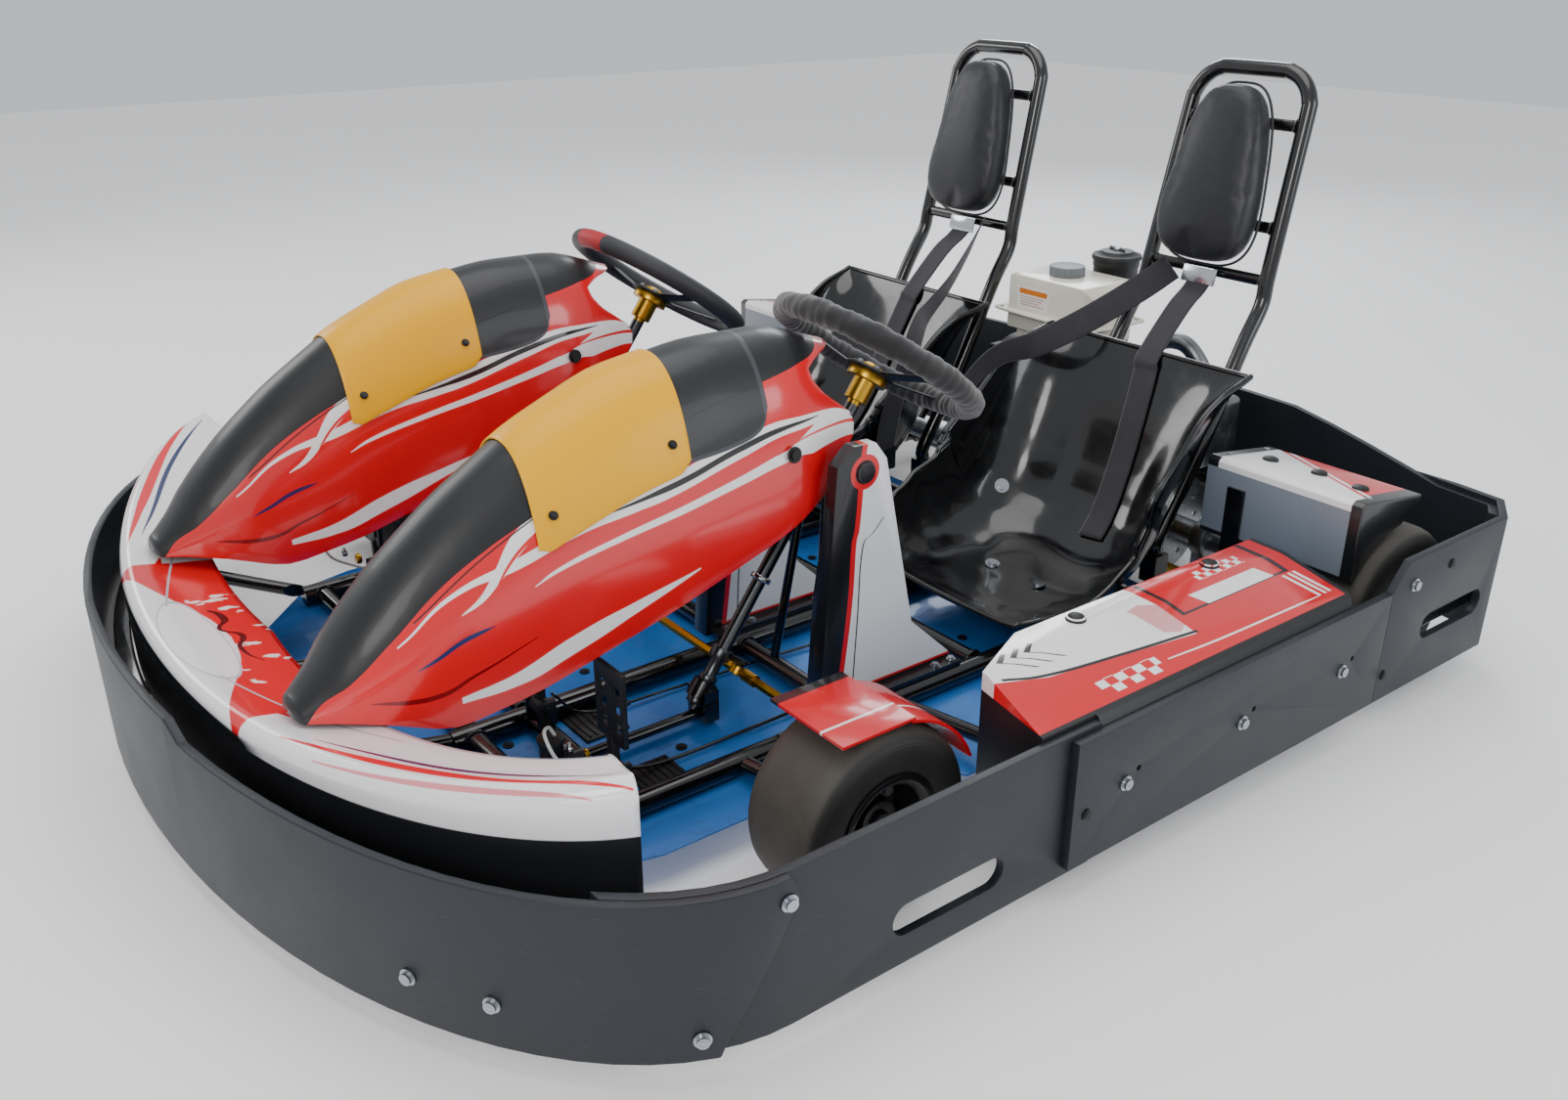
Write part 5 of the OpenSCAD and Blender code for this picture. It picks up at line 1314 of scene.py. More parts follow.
def hoopPath():
    f = hoop["foot"] / 2
    half = [Vector((f, 572, 132)), Vector((f, 576, 160)), Vector((f, 655, 290)), Vector((f - 2, 740, 453)),
            hoopUp(f - 3, -22), hoopUp(f - 5, 26), hoopUp(mixed(f, hoop["topHalf"], 0.7), 150),
            hoopUp(hoop["topHalf"], hoop["long"] - hoop["bend"])]
    for a in range(15, 91, 15):
        c, s = math.cos(math.radians(a)), math.sin(math.radians(a))
        half.append(hoopUp(hoop["topHalf"] - hoop["bend"] * (1 - c), hoop["long"] - hoop["bend"] * (1 - s)))
    return half + [Vector((-p.x, p.y, p.z)) for p in half[::-1]]


def weldTree(paint):
    # a lumpy bead ring laid round a tube joint, its ripples made from a fixed seed
    tree = Repeat("weldBeads", radius=0.0155, bead=0.0024, ripples=22, seed=5)
    ring = tree.add("GeometryNodeCurvePrimitiveCircle", None,
                    {"Resolution": 48, "Radius": tree.size("radius")})
    core = tree.add("GeometryNodeCurvePrimitiveCircle", None, {"Resolution": 8, "Radius": tree.size("bead")})
    body = tree.add("GeometryNodeCurveToMesh", None,
                    {"Curve": ring.outputs[0], "Profile Curve": core.outputs[0]})
    chance = tree.add("FunctionNodeRandomValue", {"data_type": "FLOAT"},
                      {2: -0.0006, 3: 0.0009, "Seed": tree.size("seed")})
    normal = tree.add("GeometryNodeInputNormal")
    push = tree.add("ShaderNodeVectorMath", {"operation": "SCALE"},
                    {0: normal.outputs[0], "Scale": chance.outputs[1]})
    bent = tree.add("GeometryNodeSetPosition", None, {"Geometry": body.outputs[0], "Offset": push.outputs[0]})
    tree.end(pointed(tree, bent.outputs[0]), paint)
    return tree


def makeHoops(welds):
    parts = [tube("hoopTube", [(seatX + p.x, p.y, p.z) for p in hoopPath()], hoop["radius"], finish["tube"],
                  6, 20)]
    spots, ways = [], []
    for along in hoop["bars"]:
        bar = [(x, z) for x, z in circle(10, 20)]
        flat = [(a, b * 0.7) for a, b in bar]
        ends = [hoopUp(seatX - hoop["topHalf"], along), hoopUp(seatX + hoop["topHalf"], along)]
        parts.append(sweep("hoopBar", ends, flat, finish["tube"], up=(0, 1, 0)))
        for e in (1, -1):
            half = mixed(hoop["foot"] / 2, hoop["topHalf"], min(along / 150, 1)) - 12
            for s in (1, -1):
                p = hoopUp(e * half, along)
                spots.append((s * (seatX + p.x), p.y, p.z))
                ways.append((e * s, 0, 0.0))
    for along in hoop["bars"][1:]:
        for x in (-40, 40):
            a, b = hoopUp(seatX + x, along, -2), hoopUp(seatX + x, along, -13)
            parts.append(sweep("padBoss", [a, b], circle(8, 16), finish["tube"], up=(1, 0, 0)))
    left = joined("leftRollHoop", parts)
    smoothBy(left, 40)
    mount(left, "chassis", finish["tube"], "left_hoop")
    right = mirrored(left, "rightRollHoop")
    mount(right, "chassis", finish["tube"], "right_hoop")
    beads = welds.make("hoopWelds", spots, ways, radius=0.0098, bead=0.0024)
    mount(beads, "chassis", finish["tube"])


# ---- headrests ----
pad = {"halfLow": 106, "halfHigh": 66, "halfUp": 148, "voxel": 6, "cap": 8, "start": 0.962, "steps": 18}
padCloth = {
    "quality": 6, "mass": 0.4, "tension_stiffness": 22, "compression_stiffness": 22, "shear_stiffness": 10,
    "bending_stiffness": 3, "use_pressure": True, "uniform_pressure_force": 4,
}


def padSpot(u, v, depth):
    p = hoopUp(seatX + u, 176 + v, -13.3 - depth)
    return (p.x, p.y, p.z)


def padOutline(grow, steps=72):
    line = []
    for k in range(steps):
        a = 2 * math.pi * k / steps
        c, s = math.cos(a), math.sin(a)
        v = pad["halfUp"] * math.copysign(abs(s) ** 0.62, s)
        half = mixed(pad["halfLow"], pad["halfHigh"], (v / pad["halfUp"] + 1) / 2)
        line.append((half * math.copysign(abs(c) ** 0.62, c) * grow, v * grow))
    return line


def makeHeadrests():
    layers = [(0.0, 0), (0.6, 0), (0.93, 0.5), (0.985, 6), (1, 16), (1, 30), (0.985, 40), (0.94, 47),
              (0.84, 51.5),
              (0.62, 54), (0.3, 55), (0.0, 55.3)]
    rows = []
    for grow, depth in layers:
        rows.append([padSpot(u, v, depth) for u, v in padOutline(max(grow, 0.001) * pad["start"])])
    piece = skin("leftHeadrestPad", rows, finish["vinyl"], closed=True)
    tidyMesh(piece, 0.0006, True)
    shape(piece, "REMESH", mode="VOXEL", voxel_size=pad["voxel"] * mm, use_smooth_shade=True)
    settle(piece)
    rest = [v.co.copy() for v in piece.data.vertices]
    group = piece.vertex_groups.new(name="held")
    back = hoopUp(0, 176, -13.3)
    lean = math.radians(hoop["lean"])
    out = Vector((0, math.cos(lean), -math.sin(lean)))
    held = [v.index for v in piece.data.vertices if (Vector(v.co) / mm - back).dot(out) > -5]
    group.add(held, 1.0, "REPLACE")
    cloth = shape(piece, "CLOTH")
    for key, value in padCloth.items():
        setattr(cloth.settings, key, value)
    cloth.settings.vertex_group_mass = "held"
    cloth.settings.effector_weights.gravity = 0
    scene = bpy.context.scene
    for step in range(1, pad["steps"] + 1):
        scene.frame_set(step)
    settle(piece)
    scene.frame_set(1)
    for v, start in zip(piece.data.vertices, rest):
        move = v.co - start
        if move.length > pad["cap"] * mm:
            v.co = start + move.normalized() * pad["cap"] * mm
    shape(piece, "SMOOTH", factor=0.5, iterations=3)
    shape(piece, "SUBSURF", levels=1, render_levels=1)
    settle(piece)
    piece.vertex_groups.clear()
    piece.data.polygons.foreach_set("use_smooth", [True] * len(piece.data.polygons))
    # keep the pad clear of the hoop behind it
    for v in piece.data.vertices:
        p = Vector(v.co) / mm
        lean = math.radians(hoop["lean"])
        out = Vector((0, math.cos(lean), -math.sin(lean)))
        over = (p - hoopUp(0, 176, -13.1)).dot(out)
        if over > 0:
            v.co = (p - out * over) * mm
    mount(piece, "chassis", finish["vinyl"], "left_headrest")
    other = mirrored(piece, "rightHeadrestPad")
    mount(other, "chassis", finish["vinyl"], "right_headrest")
    # welt round the back edge
    line = [padSpot(u, v, 9) for u, v in padOutline(0.996, 60)]
    welt = tube("leftHeadrestWelt", line, 2.2, finish["vinyl"], 2, 8, True)
    tidyMesh(welt, 0.00001, True)
    mount(welt, "chassis", finish["vinyl"])
    mount(mirrored(welt, "rightHeadrestWelt"), "chassis", finish["vinyl"])


# ---- belts ----
belt = {"wide": 46, "thick": 2.0, "rest": -4.3}


def strap(name, path, ups):
    # a flat ribbed band along a path, across each point's own side direction
    pts = smoothPath(path, 6)
    sides = smoothPath(ups, 6)
    mesh = bpy.data.meshes.new(name)
    verts, faces, coords = [], [], []
    across = 13
    run = 0.0
    for i, (p, side) in enumerate(zip(pts, sides)):
        way = (pts[min(i + 1, len(pts) - 1)] - pts[max(i - 1, 0)]).normalized()
        u = (side - way * side.dot(way)).normalized()
        n = way.cross(u)
        run += (p - pts[max(i - 1, 0)]).length
        for j in range(across):
            share = j / (across - 1)
            crown = 0.5 * math.cos((share - 0.5) * math.pi)
            verts.append((p + u * belt["wide"] * (share - 0.5) + n * crown) * mm)
            coords.append((share, run / 1000))
    for i in range(len(pts) - 1):
        for j in range(across - 1):
            a = i * across + j
            faces.append((a, a + 1, a + across + 1, a + across))
    mesh.from_pydata(verts, [], faces)
    layer = mesh.uv_layers.new(name="strap")
    for loop in mesh.loops:
        layer.data[loop.index].uv = coords[loop.vertex_index]
    mesh.polygons.foreach_set("use_smooth", [True] * len(mesh.polygons))
    piece = bpy.data.objects.new(name, mesh)
    bpy.context.scene.collection.objects.link(piece)
    mesh.materials.append(finish["belt"].mat)
    shape(piece, "SOLIDIFY", thickness=belt["thick"] * mm, offset=0)
    return settle(piece)


def makeBelts():
    down = [(0, 780.6, 562), (0, 778.6, 548), (2, 757, 528), (4, 718, 502)]
    for k in range(9):
        t = 0.98 - 0.06 * k
        p = seatPoint(t, mixed(14, 2, (t - 0.5) / 0.48), belt["rest"])
        down.append((p.x, p.y, p.z))
    across = [(-56, 768, 556), (-80, 716, 520), (-118, 628, 470), (-150, 546, 436), (-184, 490, 418),
              (-207, 448, 372), (-207.5, 424, 320), (-206, 408, 262), (-205, 398, 200)]
    downSides = [(1, 0, 0)] * len(down)
    acrossSides = [(0.62, 0.3, -0.7), (0.5, 0.3, -0.75), (0.4, 0.35, -0.8), (0.3, 0.5, -0.8),
                   (0.12, 0.75, -0.6), (0, 0.92, -0.35), (0, 0.95, -0.25), (0, 0.96, -0.2), (0, 0.97, -0.2)]
    for s, name, node in ((1, "left", "left_seat_belt"), (-1, "right", "right_seat_belt")):
        def at(points):
            return [Vector((s * (seatX + x), y, z)) for x, y, z in points]
        parts = [strap("strapDown", at(down), [Vector((s * a, b, c)) for a, b, c in downSides]),
                 strap("strapAcross", at(across), [Vector((s * a, b, c)) for a, b, c in acrossSides])]
        whole = joined(name + "SeatBelt", parts)
        mount(whole, "chassis", finish["belt"], node)
        hoopTab = plug(name + "BeltTab", [(-34, -14), (34, -14), (34, 14), (-34, 14)], 0, 3,
                       finish["chrome"], "xy", 2, 2)
        hoopTab.data.transform(Matrix.Translation(hoopUp(s * seatX, 8, -15) * mm)
                               @ Matrix.Rotation(math.radians(90 - hoop["lean"]), 4, "X"))
        smoothBy(hoopTab, 32)
        mount(hoopTab, "chassis", finish["chrome"])
        buckle = brick(name + "Buckle", (s * (seatX - 205) - 8, 380, 168),
                       (s * (seatX - 205) + 6, 424, 214), finish["shade"], 4, 3)
        mount(buckle, "chassis", finish["shade"])


makeSeats()
welds = weldTree(finish["tube"])
makeHoops(welds)
makeHeadrests()
makeBelts()
print("seats, hoops, headrests and belts done")

# ---- tyres and wheel bolts ----
tyres = {
    "left_front_wheel": (670, -300, 127, 127, 130), "right_front_wheel": (-670, -300, 127, 127, 130),
    "rear_axle": (700, 690, 132, 132, 180),
}


def tyre(name, x, y, z, radius, wide):
    h = wide / 2
    line = [(63.7, -h + 13), (68, -h + 6), (74, -h + 2.6), (86, -h + 0.8), (radius - 24, -h),
            (radius - 14, -h + 3),
            (radius - 7, -h + 9), (radius - 2.5, -h + 17), (radius - 0.6, -h + 26), (radius, -h + 38)]
    outline = line + [(r, -w) for r, w in line[::-1]] + [(66, h - 16), (66, -h + 16)]
    piece = spin(name, outline, finish["tyre"], (x, y, z), (1, 0, 0), 112)
    shape(piece, "BEVEL", width=1 * mm, segments=2, limit_method="ANGLE", angle_limit=0.8)
    return settle(piece)


def makeTyres():
    for body, (x, y, z, radius, wide) in tyres.items():
        if body == "rear_axle":
            both = [tyre("rearTyre", s * x, y, z, radius, wide) for s in (1, -1)]
            mount(joined("rearTyrePair", both), body, finish["tyre"], "rear_tyres")
        else:
            piece = tyre(body.replace("_wheel", "Tyre"), x, y, z, radius, wide)
            mount(piece, body, finish["tyre"], body.replace("_wheel", "_tyre"))
    # wheel bolts
    bolts = screwTree("wheelBolts", finish["zinc"])
    for body, places in (("left_front_wheel", ((670 + 11, -300, 127, 1),)),
                         ("right_front_wheel", ((-670 - 11, -300, 127, -1),)),
                         ("rear_axle", ((700 - 48, 690, 132, 1), (-700 + 48, 690, 132, -1)))):
        spots, ways = [], []
        for x, y, z, s in places:
            for k in range(4 if body != "rear_axle" else 5):
                a = 2 * math.pi * k / (4 if body != "rear_axle" else 5) + 0.4
                spots.append((x, y + 38 * math.cos(a), z + 38 * math.sin(a)))
                ways.append((s, 0, 0))
        mount(bolts.make(body + "Bolts", spots, ways, washer=0.008, head=0.0065, high=0.006), body,
              finish["zinc"])


# ---- steering wheels ----
wheelRim = {"ring": 150.0, "grip": 15.6, "up": 26.0, "pleats": 62, "pleatDeep": 1.3}
columnWay = Vector((0, 0.587785, 0.809017))
columnSide = Vector((0, 0.809017, -0.587785))


def onColumn(s, u, v, w):
    # local place on the column: u across, v towards the back and down, w along it
    return Vector((s * seatX, 33, 512)) + Vector((u, 0, 0)) + columnSide * v + columnWay * w


def makeWheelRim(name, s, paint, gathered):
    dice = random.Random(11)
    steps, sides = (480, 28) if gathered else (160, 24)
    shifts = [dice.uniform(-0.35, 0.35) for i in range(wheelRim["pleats"] + 1)]
    rows = []
    for i in range(steps):
        turn = 2 * math.pi * i / steps
        row = []
        pleat = i / steps * wheelRim["pleats"]
        local = pleat + shifts[int(pleat)] * math.sin(math.pi * (pleat % 1))
        for j in range(sides):
            phi = 2 * math.pi * j / sides
            r = wheelRim["grip"]
            if gathered:
                inside = 0.5 - 0.5 * math.cos(phi)
                fold = abs(math.sin(math.pi * local)) ** 0.7
                r += 1.6 + wheelRim["pleatDeep"] * (fold * (0.5 + inside) - 0.4)
                r += 0.7 * math.sin(turn * 9 + phi * 2) + 0.5 * math.sin(turn * 23 - phi * 3)
            else:
                r -= 0.5 * max(0.0, math.cos(turn * 36)) ** 8 * (0.5 - 0.5 * math.cos(phi))
            out = wheelRim["ring"] + r * math.cos(phi)
            row.append(onColumn(s, out * math.cos(turn), out * math.sin(turn),
                                wheelRim["up"] + r * math.sin(phi)))
        rows.append(row)
    rows.append(rows[0])
    piece = skin(name, rows, paint, closed=True)
    tidyMesh(piece, 0.00001, True)
    return piece


def makeSteering():
    for s, side, paint, gathered in ((1, "left", finish["cloth"], True),
                                     (-1, "right", finish["foam"], False)):
        ring = makeWheelRim(side + "WheelRim", s, paint, gathered)
        body = side + "_steering"
        mount(ring, body, paint, side + "_steering_wheel")
        parts = [spin("wheelPlate", [(6, 0), (36, 0), (37.5, 2), (36, 5), (6, 5)], finish["shade"],
                      onColumn(s, 0, 0, 0.5), columnWay, 48)]
        for a in (0, 90, 180):
            c, si = math.cos(math.radians(a)), math.sin(math.radians(a))
            path = [onColumn(s, r * c, r * si, w) for r,
                    w in ((20, 3), (44, 6), (90, 15), (128, 23), (147, 26))]
            flat = [(x, y * 0.16) for x, y in circle(15, 20)]
            parts.append(sweep("spoke", smoothPath(path, 4), flat, finish["shade"], up=columnWay,
                               size=lambda t: 1.15 - 0.35 * math.sin(math.pi * min(t, 1))))
        hub = joined(side + "WheelSpokes", parts)
        smoothBy(hub, 40)
        mount(hub, body, finish["shade"])
        cap = spin(side + "HubCap", [(0.4, 14), (9, 14), (15, 11), (19, 5.5), (0.4, 5.5)], finish["gold"],
                   onColumn(s, 0, 0, 0), columnWay, 40)
        mount(cap, body, finish["gold"])
        spots = [onColumn(s, 27 * math.cos(a), 27 * math.sin(a), 5.2) for a in
                 (math.radians(k * 60 + 30) for k in range(6))]
        heads = screwTree(side + "HubBolts", finish["zinc"]).make(
            side + "HubBolts", spots, [columnWay] * 6, washer=0.0055, head=0.0042, high=0.003)
        mount(heads, body, finish["zinc"])


# ---- screws of the bumper ----
bumperScrews = {
    "side": 845.3, "sideAt": [(-20, 138), (212, 138), (440, 138), (600, 226)],
    "frontAt": [(44, 92), (53, 90), (76, 62), (88, 205)],
    "rivetX": 845.4, "rivetAt": [(-88, 120), (700, 232), (560, 90)],
}


def makeBumperScrews():
    half, deep = nose["half"], nose["depth"]
    spots, ways = [], []
    for s in (1, -1):
        for y, z in bumperScrews["sideAt"]:
            spots.append((s * bumperScrews["side"], y, z))
            ways.append((s, 0, 0))
        # the front ones stand square to the bent strip
        for a, z in bumperScrews["frontAt"]:
            c, si = math.cos(math.radians(a)), math.sin(math.radians(a))
            n = Vector((s * si / half, -c / deep, 0)).normalized()
            spots.append(Vector((s * half * si, nose["arcY"] - deep * c, z)) + n * 0.3)
            ways.append(n)
    piece = screwTree("bumperScrewTree", finish["zinc"]).make("bumperScrews", spots, ways)
    mount(piece, "chassis", finish["zinc"], "bumper_screws")
    spots = [(s * bumperScrews["rivetX"], y, z) for s in (1, -1) for y, z in bumperScrews["rivetAt"]]
    ways = [(s, 0, 0) for s in (1, -1) for spot in bumperScrews["rivetAt"]]
    extra = screwTree("sinkTree", finish["shade"]).make("stripRivets", spots, ways, washer=0.0075,
                                                        head=0.005, high=0.001)
    mount(extra, "chassis", finish["shade"])


# ---- pods, covers and guards: plugs, clips and foot screws ----
def makePanelFixings():
    plugs = []
    for s in (1, -1):
        for x, y, z in ((671, 70, 262), (671, 350, 262)):
            plugs.append(spin("podPlug", [(0.4, 8.6), (7, 8.2), (10.5, 6.6), (13.4, 4), (14.2, 0.5),
                                          (0.4, 0.5)],
                              finish["shade"], (s * x, y, z), (0, 0, 1), 40))
        for x, y in ((560, 640), (640, 650), (716, 640)):
            base = 334 - (y - 562) * 0.08
            plugs.append(spin("coverPlug", [(0.4, 6), (9, 5.4), (12, 3.6), (13, -1), (0.4, -1)],
                              finish["shade"],
                              (s * x, y, base - 4), (0, 0.08, 1), 36))
        for x in (412, 128):
            plugs.append(spin("guardPlug", [(0.4, 5.4), (10, 5), (13.5, 3.4), (15, 0.4), (0.4, 0.4)],
                              finish["shade"],
                              (s * x, -76, 424), (s, 0, 0), 40))
    caps = joined("panelPlugs", plugs)
    smoothBy(caps, 40)
    mount(caps, "chassis", finish["shade"])
    spots, ways = [], []
    for s in (1, -1):
        for x in (424, 140):
            for y in (-118, -70, 60, 92):
                spots.append((s * x, y, 88.5))
                ways.append((0, 0, 1))
        for x, y in ((512, 600), (754, 600), (512, 700)):
            spots.append((s * x, y, 331 - (y - 562) * 0.14))
            ways.append((0, 0.1, 1))
    piece = screwTree("panelScrewTree", finish["zinc"]).make("panelScrews", spots, ways, washer=0.007,
                                                             head=0.0048, high=0.003)
    mount(piece, "chassis", finish["zinc"])
    # dark boxes behind the rear covers
    blocks = [brick("coverBox", (s * 610 - 52, 700, 268), (s * 610 + 52, 722, 312), finish["shade"], 3,
                    2) for s in (1, -1)]
    mount(joined("coverBoxes", blocks), "chassis", finish["shade"])


# ---- drive chain ----
drive = {"x": 205, "axle": (690, 132), "crank": (802, 274), "big": 89.0, "small": 36.57, "pitch": 12.7}


def chainPath():
    (ay, az), (cy, cz) = drive["axle"], drive["crank"]
    gap = math.hypot(cy - ay, cz - az)
    way = math.atan2(cz - az, cy - ay)
    b = math.acos((drive["big"] - drive["small"]) / gap)
    line = []
    for i in range(121):
        a = way + b + (2 * math.pi - 2 * b) * i / 120
        line.append(Vector((drive["x"], ay + drive["big"] * math.cos(a), az + drive["big"] * math.sin(a))))
    for i in range(61):
        a = way - b + 2 * b * i / 60
        line.append(Vector((drive["x"], cy + drive["small"] * math.cos(a),
                            cz + drive["small"] * math.sin(a))))
    return line


def makeChain():
    line = chainPath()
    line.append(line[0])
    lengths = [0.0]
    for a, b in zip(line, line[1:]):
        lengths.append(lengths[-1] + (b - a).length)
    count = 2 * round(lengths[-1] / drive["pitch"] / 2)
    pins = []
    for k in range(count + 1):
        at = lengths[-1] * k / count
        i = min(bisect.bisect_right(lengths, at), len(line) - 1)
        share = (at - lengths[i - 1]) / max(lengths[i] - lengths[i - 1], 1e-6)
        pins.append(line[i - 1].lerp(line[i], share))
    tree = Repeat("chainLinks", plateLong=0.0205, plateHigh=0.0088, spread=0.0058)
    plate = tree.add("GeometryNodeMeshCylinder", None, {"Vertices": 12, "Radius": 0.5, "Depth": 0.0013})
    size = tree.add("ShaderNodeCombineXYZ", None,
                    {0: tree.size("plateHigh"), 1: tree.size("plateLong"), 2: 1.0})
    flat = tree.add("GeometryNodeTransform", None, {"Geometry": plate.outputs[0], "Scale": size.outputs[0]})
    sides = []
    for s in (1, -1):
        off = tree.add("ShaderNodeMath", {"operation": "MULTIPLY"}, {0: tree.size("spread"), 1: s * 0.5})
        place3 = tree.add("ShaderNodeCombineXYZ", None, {0: off.outputs[0]})
        up = tree.add("GeometryNodeTransform", None,
                      {"Geometry": flat.outputs[0], "Translation": place3.outputs[0],
                                                       "Rotation": (math.pi / 2, 0, math.pi / 2)})
        sides.append(up)
    roller = tree.add("GeometryNodeMeshCylinder", None, {"Vertices": 12, "Radius": 0.0037, "Depth": 0.0056})
    across = tree.add("GeometryNodeTransform", None,
                      {"Geometry": roller.outputs[0], "Translation": (0, 0, 0.00635),
                                                      "Rotation": (0, math.pi / 2, 0)})
    whole = tree.add("GeometryNodeJoinGeometry")
    for part in sides + [across]:
        tree.tree.links.new(part.outputs[0], whole.inputs[0])
    tree.end(pointed(tree, whole.outputs[0]), finish["chain"])
    middles = [(a + b) / 2 for a, b in zip(pins, pins[1:])]
    ways = [b - a for a, b in zip(pins, pins[1:])]
    inner = tree.make("chainInner", middles[::2], ways[::2], spread=0.0062)
    outer = tree.make("chainOuter", middles[1::2], ways[1::2], spread=0.0088)
    chain = joined("driveChain", [inner, outer])
    mount(chain, "chassis", finish["chain"], "drive_chain")


# ---- engine details ----
def makeEngine():
    crank = (802, 274)
    parts = []
    # recoil housing with its dished cover and vent ring
    parts.append(spin("recoil", [(12, -163.5), (20, -165), (50, -164), (58, -160), (66, -152), (77, -150),
                                 (80, -146),
                                 (80, -82), (12, -82)], finish["shade"], (0,) + crank, (1, 0, 0), 72))
    recoil = joined("recoilHousing", parts)
    smoothBy(recoil, 35)
    mount(recoil, "chassis", finish["shade"])
    fins = Repeat("finPlates", wide=0.150, deep=0.006, high=0.0032)
    cube = fins.add("GeometryNodeMeshCube", None, {"Vertices X": 2, "Vertices Y": 2, "Vertices Z": 2})
    size = fins.add("ShaderNodeCombineXYZ", None,
                    {0: fins.size("wide"), 1: fins.size("high"), 2: fins.size("deep")})
    fins.tree.links.new(size.outputs[0], cube.inputs["Size"])
    fins.end(pointed(fins, cube.outputs[0]), finish["engine"])
    spots = [(0, 736, z) for z in range(306, 386, 9)]
    front = fins.make("headFins", spots, [(0, -1, 0)] * len(spots), wide=0.128, deep=0.012)
    mount(front, "chassis", finish["engine"])
    vents = Repeat("ventSlots", long=0.018, wide=0.004)
    slot = vents.add("GeometryNodeMeshCube", None, {"Vertices X": 2, "Vertices Y": 2, "Vertices Z": 2})
    size = vents.add("ShaderNodeCombineXYZ", None, {0: vents.size("long"), 1: vents.size("wide"), 2: 0.003})
    vents.tree.links.new(size.outputs[0], slot.inputs["Size"])
    vents.end(pointed(vents, slot.outputs[0]), finish["shade"])
    spots = [(-165, crank[0] + 38 * math.cos(a), crank[1] + 38 * math.sin(a)) for a in
             (2 * math.pi * k / 16 for k in range(16))]
    mount(vents.make("recoilVents", spots, [(-1, 0, 0)] * 16), "chassis", finish["shade"])
    # cream cowl beside the tank, carburettor, plug lead and pull handle
    cowl = plug("fanCowl", [(-76, 722), (76, 722), (88, 740), (88, 846), (70, 862), (-70, 862), (-88, 846),
                            (-88, 740)],
                346, 390, finish["tank"], "xy", 5, 3)
    smoothBy(cowl, 35)
    mount(cowl, "chassis", finish["tank"])
    carb = [brick("carbBody", (-26, 872, 336), (34, 926, 372), finish["engine"], 5, 3),
            spin("carbBowl", [(0.5, -24), (16, -24), (20, -18), (20, 0), (0.5, 0)], finish["engine"],
                 (6, 898, 336),
                 (0, 0, 1), 36)]
    carb = joined("carburettor", carb)
    smoothBy(carb, 35)
    mount(carb, "chassis", finish["engine"])
    lead = tube("plugLead", [(34, 736, 350), (36, 716, 346), (44, 700, 330), (60, 698, 306), (78, 714, 290),
                             (86, 732, 286)],
                3.6, finish["shade"], 8, 12)
    cap = tube("plugCap", [(28, 742, 354), (34, 734, 350), (38, 722, 347)], 7.5, finish["shade"], 6, 16)
    wires = joined("plugWire", [lead, cap])
    mount(wires, "chassis", finish["shade"])
    handle = brick("pullHandle", (-168, 742, 322), (-146, 778, 336), finish["shade"], 5, 3)
    mount(handle, "chassis", finish["shade"])
    spots = [(x, 868.3, z) for x in (-76, 84) for z in (178, 232, 288)] + [(x, 722, 290) for x in (-78, 84)]
    spots += [(128.4, crank[0] + 32 * math.cos(a), crank[1] + 32 * math.sin(a)) for a in
              (math.pi / 4 + math.pi / 2 * k for k in range(4))]
    ways = [(0, 1, 0)] * 6 + [(0, -1, 0)] * 2 + [(1, 0, 0)] * 4
    caseBolts = screwTree("caseBoltTree", finish["zinc"]).make("caseBolts", spots, ways, washer=0.008,
                                                               head=0.0055, high=0.005)
    mount(caseBolts, "chassis", finish["zinc"])
    # seam flange of the tank
    b = (-117, 712, 118, 845)
    ring = [(b[0] + 18, b[1] - 6), (b[2] - 18, b[1] - 6), (b[2] + 6, b[1] + 18), (b[2] + 6, b[3] - 18),
            (b[2] - 18, b[3] + 6),
            (b[0] + 18, b[3] + 6), (b[0] - 6, b[3] - 18), (b[0] - 6, b[1] + 18)]
    seam = tube("tankSeam", [(x, y, 424.5) for x, y in ring], 3.2, finish["tank"], 6, 10, True)
    tidyMesh(seam, 0.00001, True)
    mount(seam, "chassis", finish["tank"])


airFilter = {
    "at": (6, 898, 0),
    "can": [(0.5, 424), (40, 424), (44, 428), (44, 440), (42.4, 442), (42.4, 500), (44, 502), (44, 514),
            (47, 515), (47.4, 519), (46, 523), (34, 526), (30, 530), (10, 531), (0.5, 531)],
    "neck": [(0.5, 368), (17, 368), (17, 424), (0.5, 424)],
    "nut": [(0.5, 530), (7, 530), (6, 536), (0.5, 536)],
    "wingOut": 12, "wingHalf": 7, "wingThin": 1.5, "wingZ": (530.5, 538),
}


def makeFilter():
    up = (0, 0, 1)
    can = spin("filterCan", airFilter["can"], finish["filter"], airFilter["at"], up, 72)
    neck = spin("filterNeck", airFilter["neck"], finish["filter"], airFilter["at"], up, 36)
    whole = joined("airFilterCan", [can, neck])
    smoothBy(whole, 40)
    mount(whole, "chassis", finish["filter"], "air_filter")
    x, y, z = airFilter["at"]
    half, thin = airFilter["wingHalf"], airFilter["wingThin"]
    low, high = airFilter["wingZ"]
    nut = [spin("wingNut", airFilter["nut"], finish["chrome"], airFilter["at"], up, 20)]
    for s in (1, -1):
        middle = x + s * airFilter["wingOut"]
        nut.append(brick("wing", (middle - half, y - thin, low), (middle + half, y + thin, high),
                         finish["chrome"], 1.4, 2))
    mount(joined("wingNut", nut), "chassis", finish["chrome"])


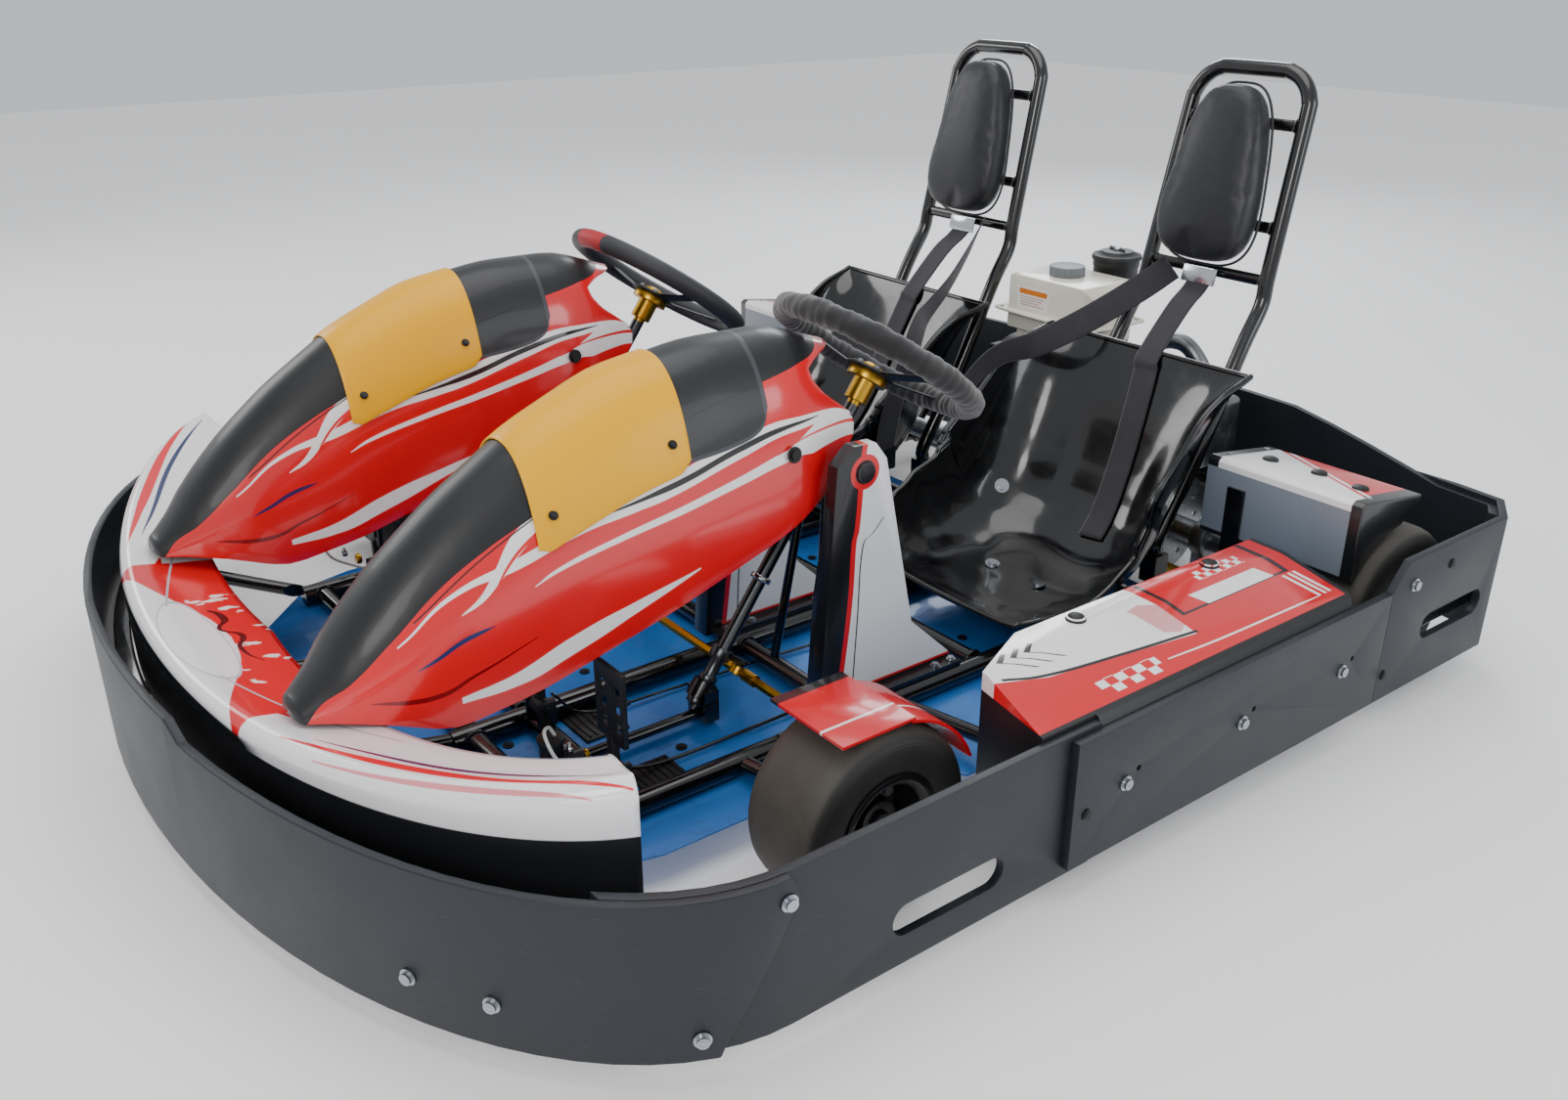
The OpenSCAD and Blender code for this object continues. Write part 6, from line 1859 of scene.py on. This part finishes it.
exhaust = {
    "line": [(71.4, 800, 345), (100, 801, 347), (132, 803, 354), (160, 806, 372), (182, 811, 396),
             (210, 815, 412), (246, 820, 410), (276, 826, 380), (289, 832, 345), (290, 834, 322)],
    "collar": [(290, 834, 340), (290, 834, 324)],
    "tail": [(262, 884, 236), (262, 900, 234), (262, 912, 228)],
    "pipeR": 15, "collarR": 19, "tailR": 11,
    "box": ((244, 782, 204), (334, 884, 326)), "boxRound": 12,
    "foot": ((284, 784, 79), (298, 796, 206)),
}


def makeExhaust():
    paint = finish["exhaust"]
    pipe = tube("pipe", exhaust["line"], exhaust["pipeR"], paint, 6, 24)
    collar = tube("collar", exhaust["collar"], exhaust["collarR"], paint, 1, 28)
    box = brick("muffler", *exhaust["box"], paint, exhaust["boxRound"], 4)
    foot = brick("foot", *exhaust["foot"], paint, 1, 2)
    tail = tube("tailPipe", exhaust["tail"], exhaust["tailR"], paint, 4, 20)
    whole = joined("exhaustPipe", [pipe, collar, box, foot, tail])
    smoothBy(whole, 35)
    mount(whole, "chassis", paint, "exhaust")


# ---- footwell: heel plates, rods, brake lines and fittings ----
def makeFootwell():
    for s, side in ((1, "left"), (-1, "right")):
        parts = []
        for e in (-1, 1):
            x = s * seatX + e * 92
            parts.append(brick("heelPlate", (x - 46, -430, 47.8), (x + 46, -360, 52), finish["shade"], 2, 2))
            for k in range(6):
                y = -422 + k * 11
                parts.append(brick("heelRib", (x - 40, y, 51.5), (x + 40, y + 4, 54), finish["shade"], 0.8,
                                   1))
        mount(joined(side + "HeelPlates", parts), "chassis", finish["shade"])
        rods = [tube("brakeRod", [(s * (seatX + 56), -492, 104), (s * (seatX + 62), -470, 92),
                                  (s * (seatX + 66), -400, 58),
                                  (s * (seatX + 66), -240, 54), (s * (seatX + 60), -60, 54),
                                  (s * (seatX + 40), 80, 54)],
                     2.6, finish["tube"], 8, 10),
                tube("gasRod", [(s * (seatX - 100), -452, 112), (s * (seatX - 98), -400, 64),
                                (s * (seatX - 96), -260, 54),
                                (s * (seatX - 84), -60, 54), (s * (seatX - 70), 90, 54)], 2.2,
                     finish["tube"], 8, 10)]
        mount(joined(side + "FloorRods", rods), "chassis", finish["tube"])
        x = s * (seatX + 100) - 44
        pipe = tube(side + "BrakePipe", [(x + 2, -530, 151), (x + 6, -540, 168), (x + 26, -556, 172),
                                         (x + 44, -548, 140),
                                         (x + 40, -510, 112), (x + 30, -486, 96)], 2.4, finish["white"], 8,
                    10)
        mount(pipe, "chassis", finish["white"])
        fit = [spin("banjo", [(0.4, 0), (8, 0), (9, 2), (9, 7), (6, 9), (0.4, 9)], finish["gold"],
                    (x, -492, 104), (0, 1, 0), 24),
               spin("bleeder", [(0.4, 0), (5, 0), (5, 8), (2.6, 9), (2.6, 15), (0.4, 15)], finish["chrome"],
                    (x, -510, 116),
                    (0, 0, 1), 20)]
        mount(joined(side + "BrakeFittings", fit), "chassis", finish["gold"])
        # clamps on the column
        clamps = []
        for along in (-190, -214, -330):
            clamps.append(spin("clamp", [(10.1, -4), (15, -4), (15.6, 0), (15, 4), (10.1, 4)],
                               finish["chrome"],
                               onColumn(s, 0, 0, along), columnWay, 32))
        whole = joined(side + "ColumnClamps", clamps)
        mount(whole, side + "_steering", finish["chrome"])
    spots, ways = [], []
    for x in (-400, -330, -180, -60, 60, 180, 330, 400):
        for y in (-520, -330, -60, 210, 470):
            if abs(abs(x) - 150) > 24:
                spots.append((x, y, 47.8))
                ways.append((0, 0, 1))
    floorRivets = screwTree("floorRivetTree", finish["shade"]).make("floorRivets", spots, ways,
                                                                    washer=0.008, head=0.005, high=0.0015)
    mount(floorRivets, "chassis", finish["shade"])


def makeWelds(welds):
    spots, ways = [], []
    for y in (-560, -470, -100, 150, 520, 790):
        for x in (133.5, 166.5, 413.5):
            for s in (1, -1):
                spots.append((s * x, y, 64))
                ways.append((1, 0, 0))
    mount(welds.make("frameWelds", spots, ways, radius=0.0148, bead=0.0024), "chassis", finish["tube"])


makeTyres()
makeSteering()
makeBumperScrews()
makePanelFixings()
makeChain()
makeEngine()
makeFilter()
makeExhaust()
makeFootwell()
makeWelds(welds)
print("wheels, drive, engine and footwell done")

ground = makeStudio()
floorFinish = Paint("studioFloor", "bumper_plastic", 0.6, Emission_Color=(1, 1, 1, 1), Emission_Strength=0.14)
wide = floorFinish.noise(400, 2)
floorFinish.feed(Base_Color=floorFinish.fill("#f7f7f8", (wide * 0.2, "#f1f2f4")))
ground.data.materials.append(floorFinish.mat)
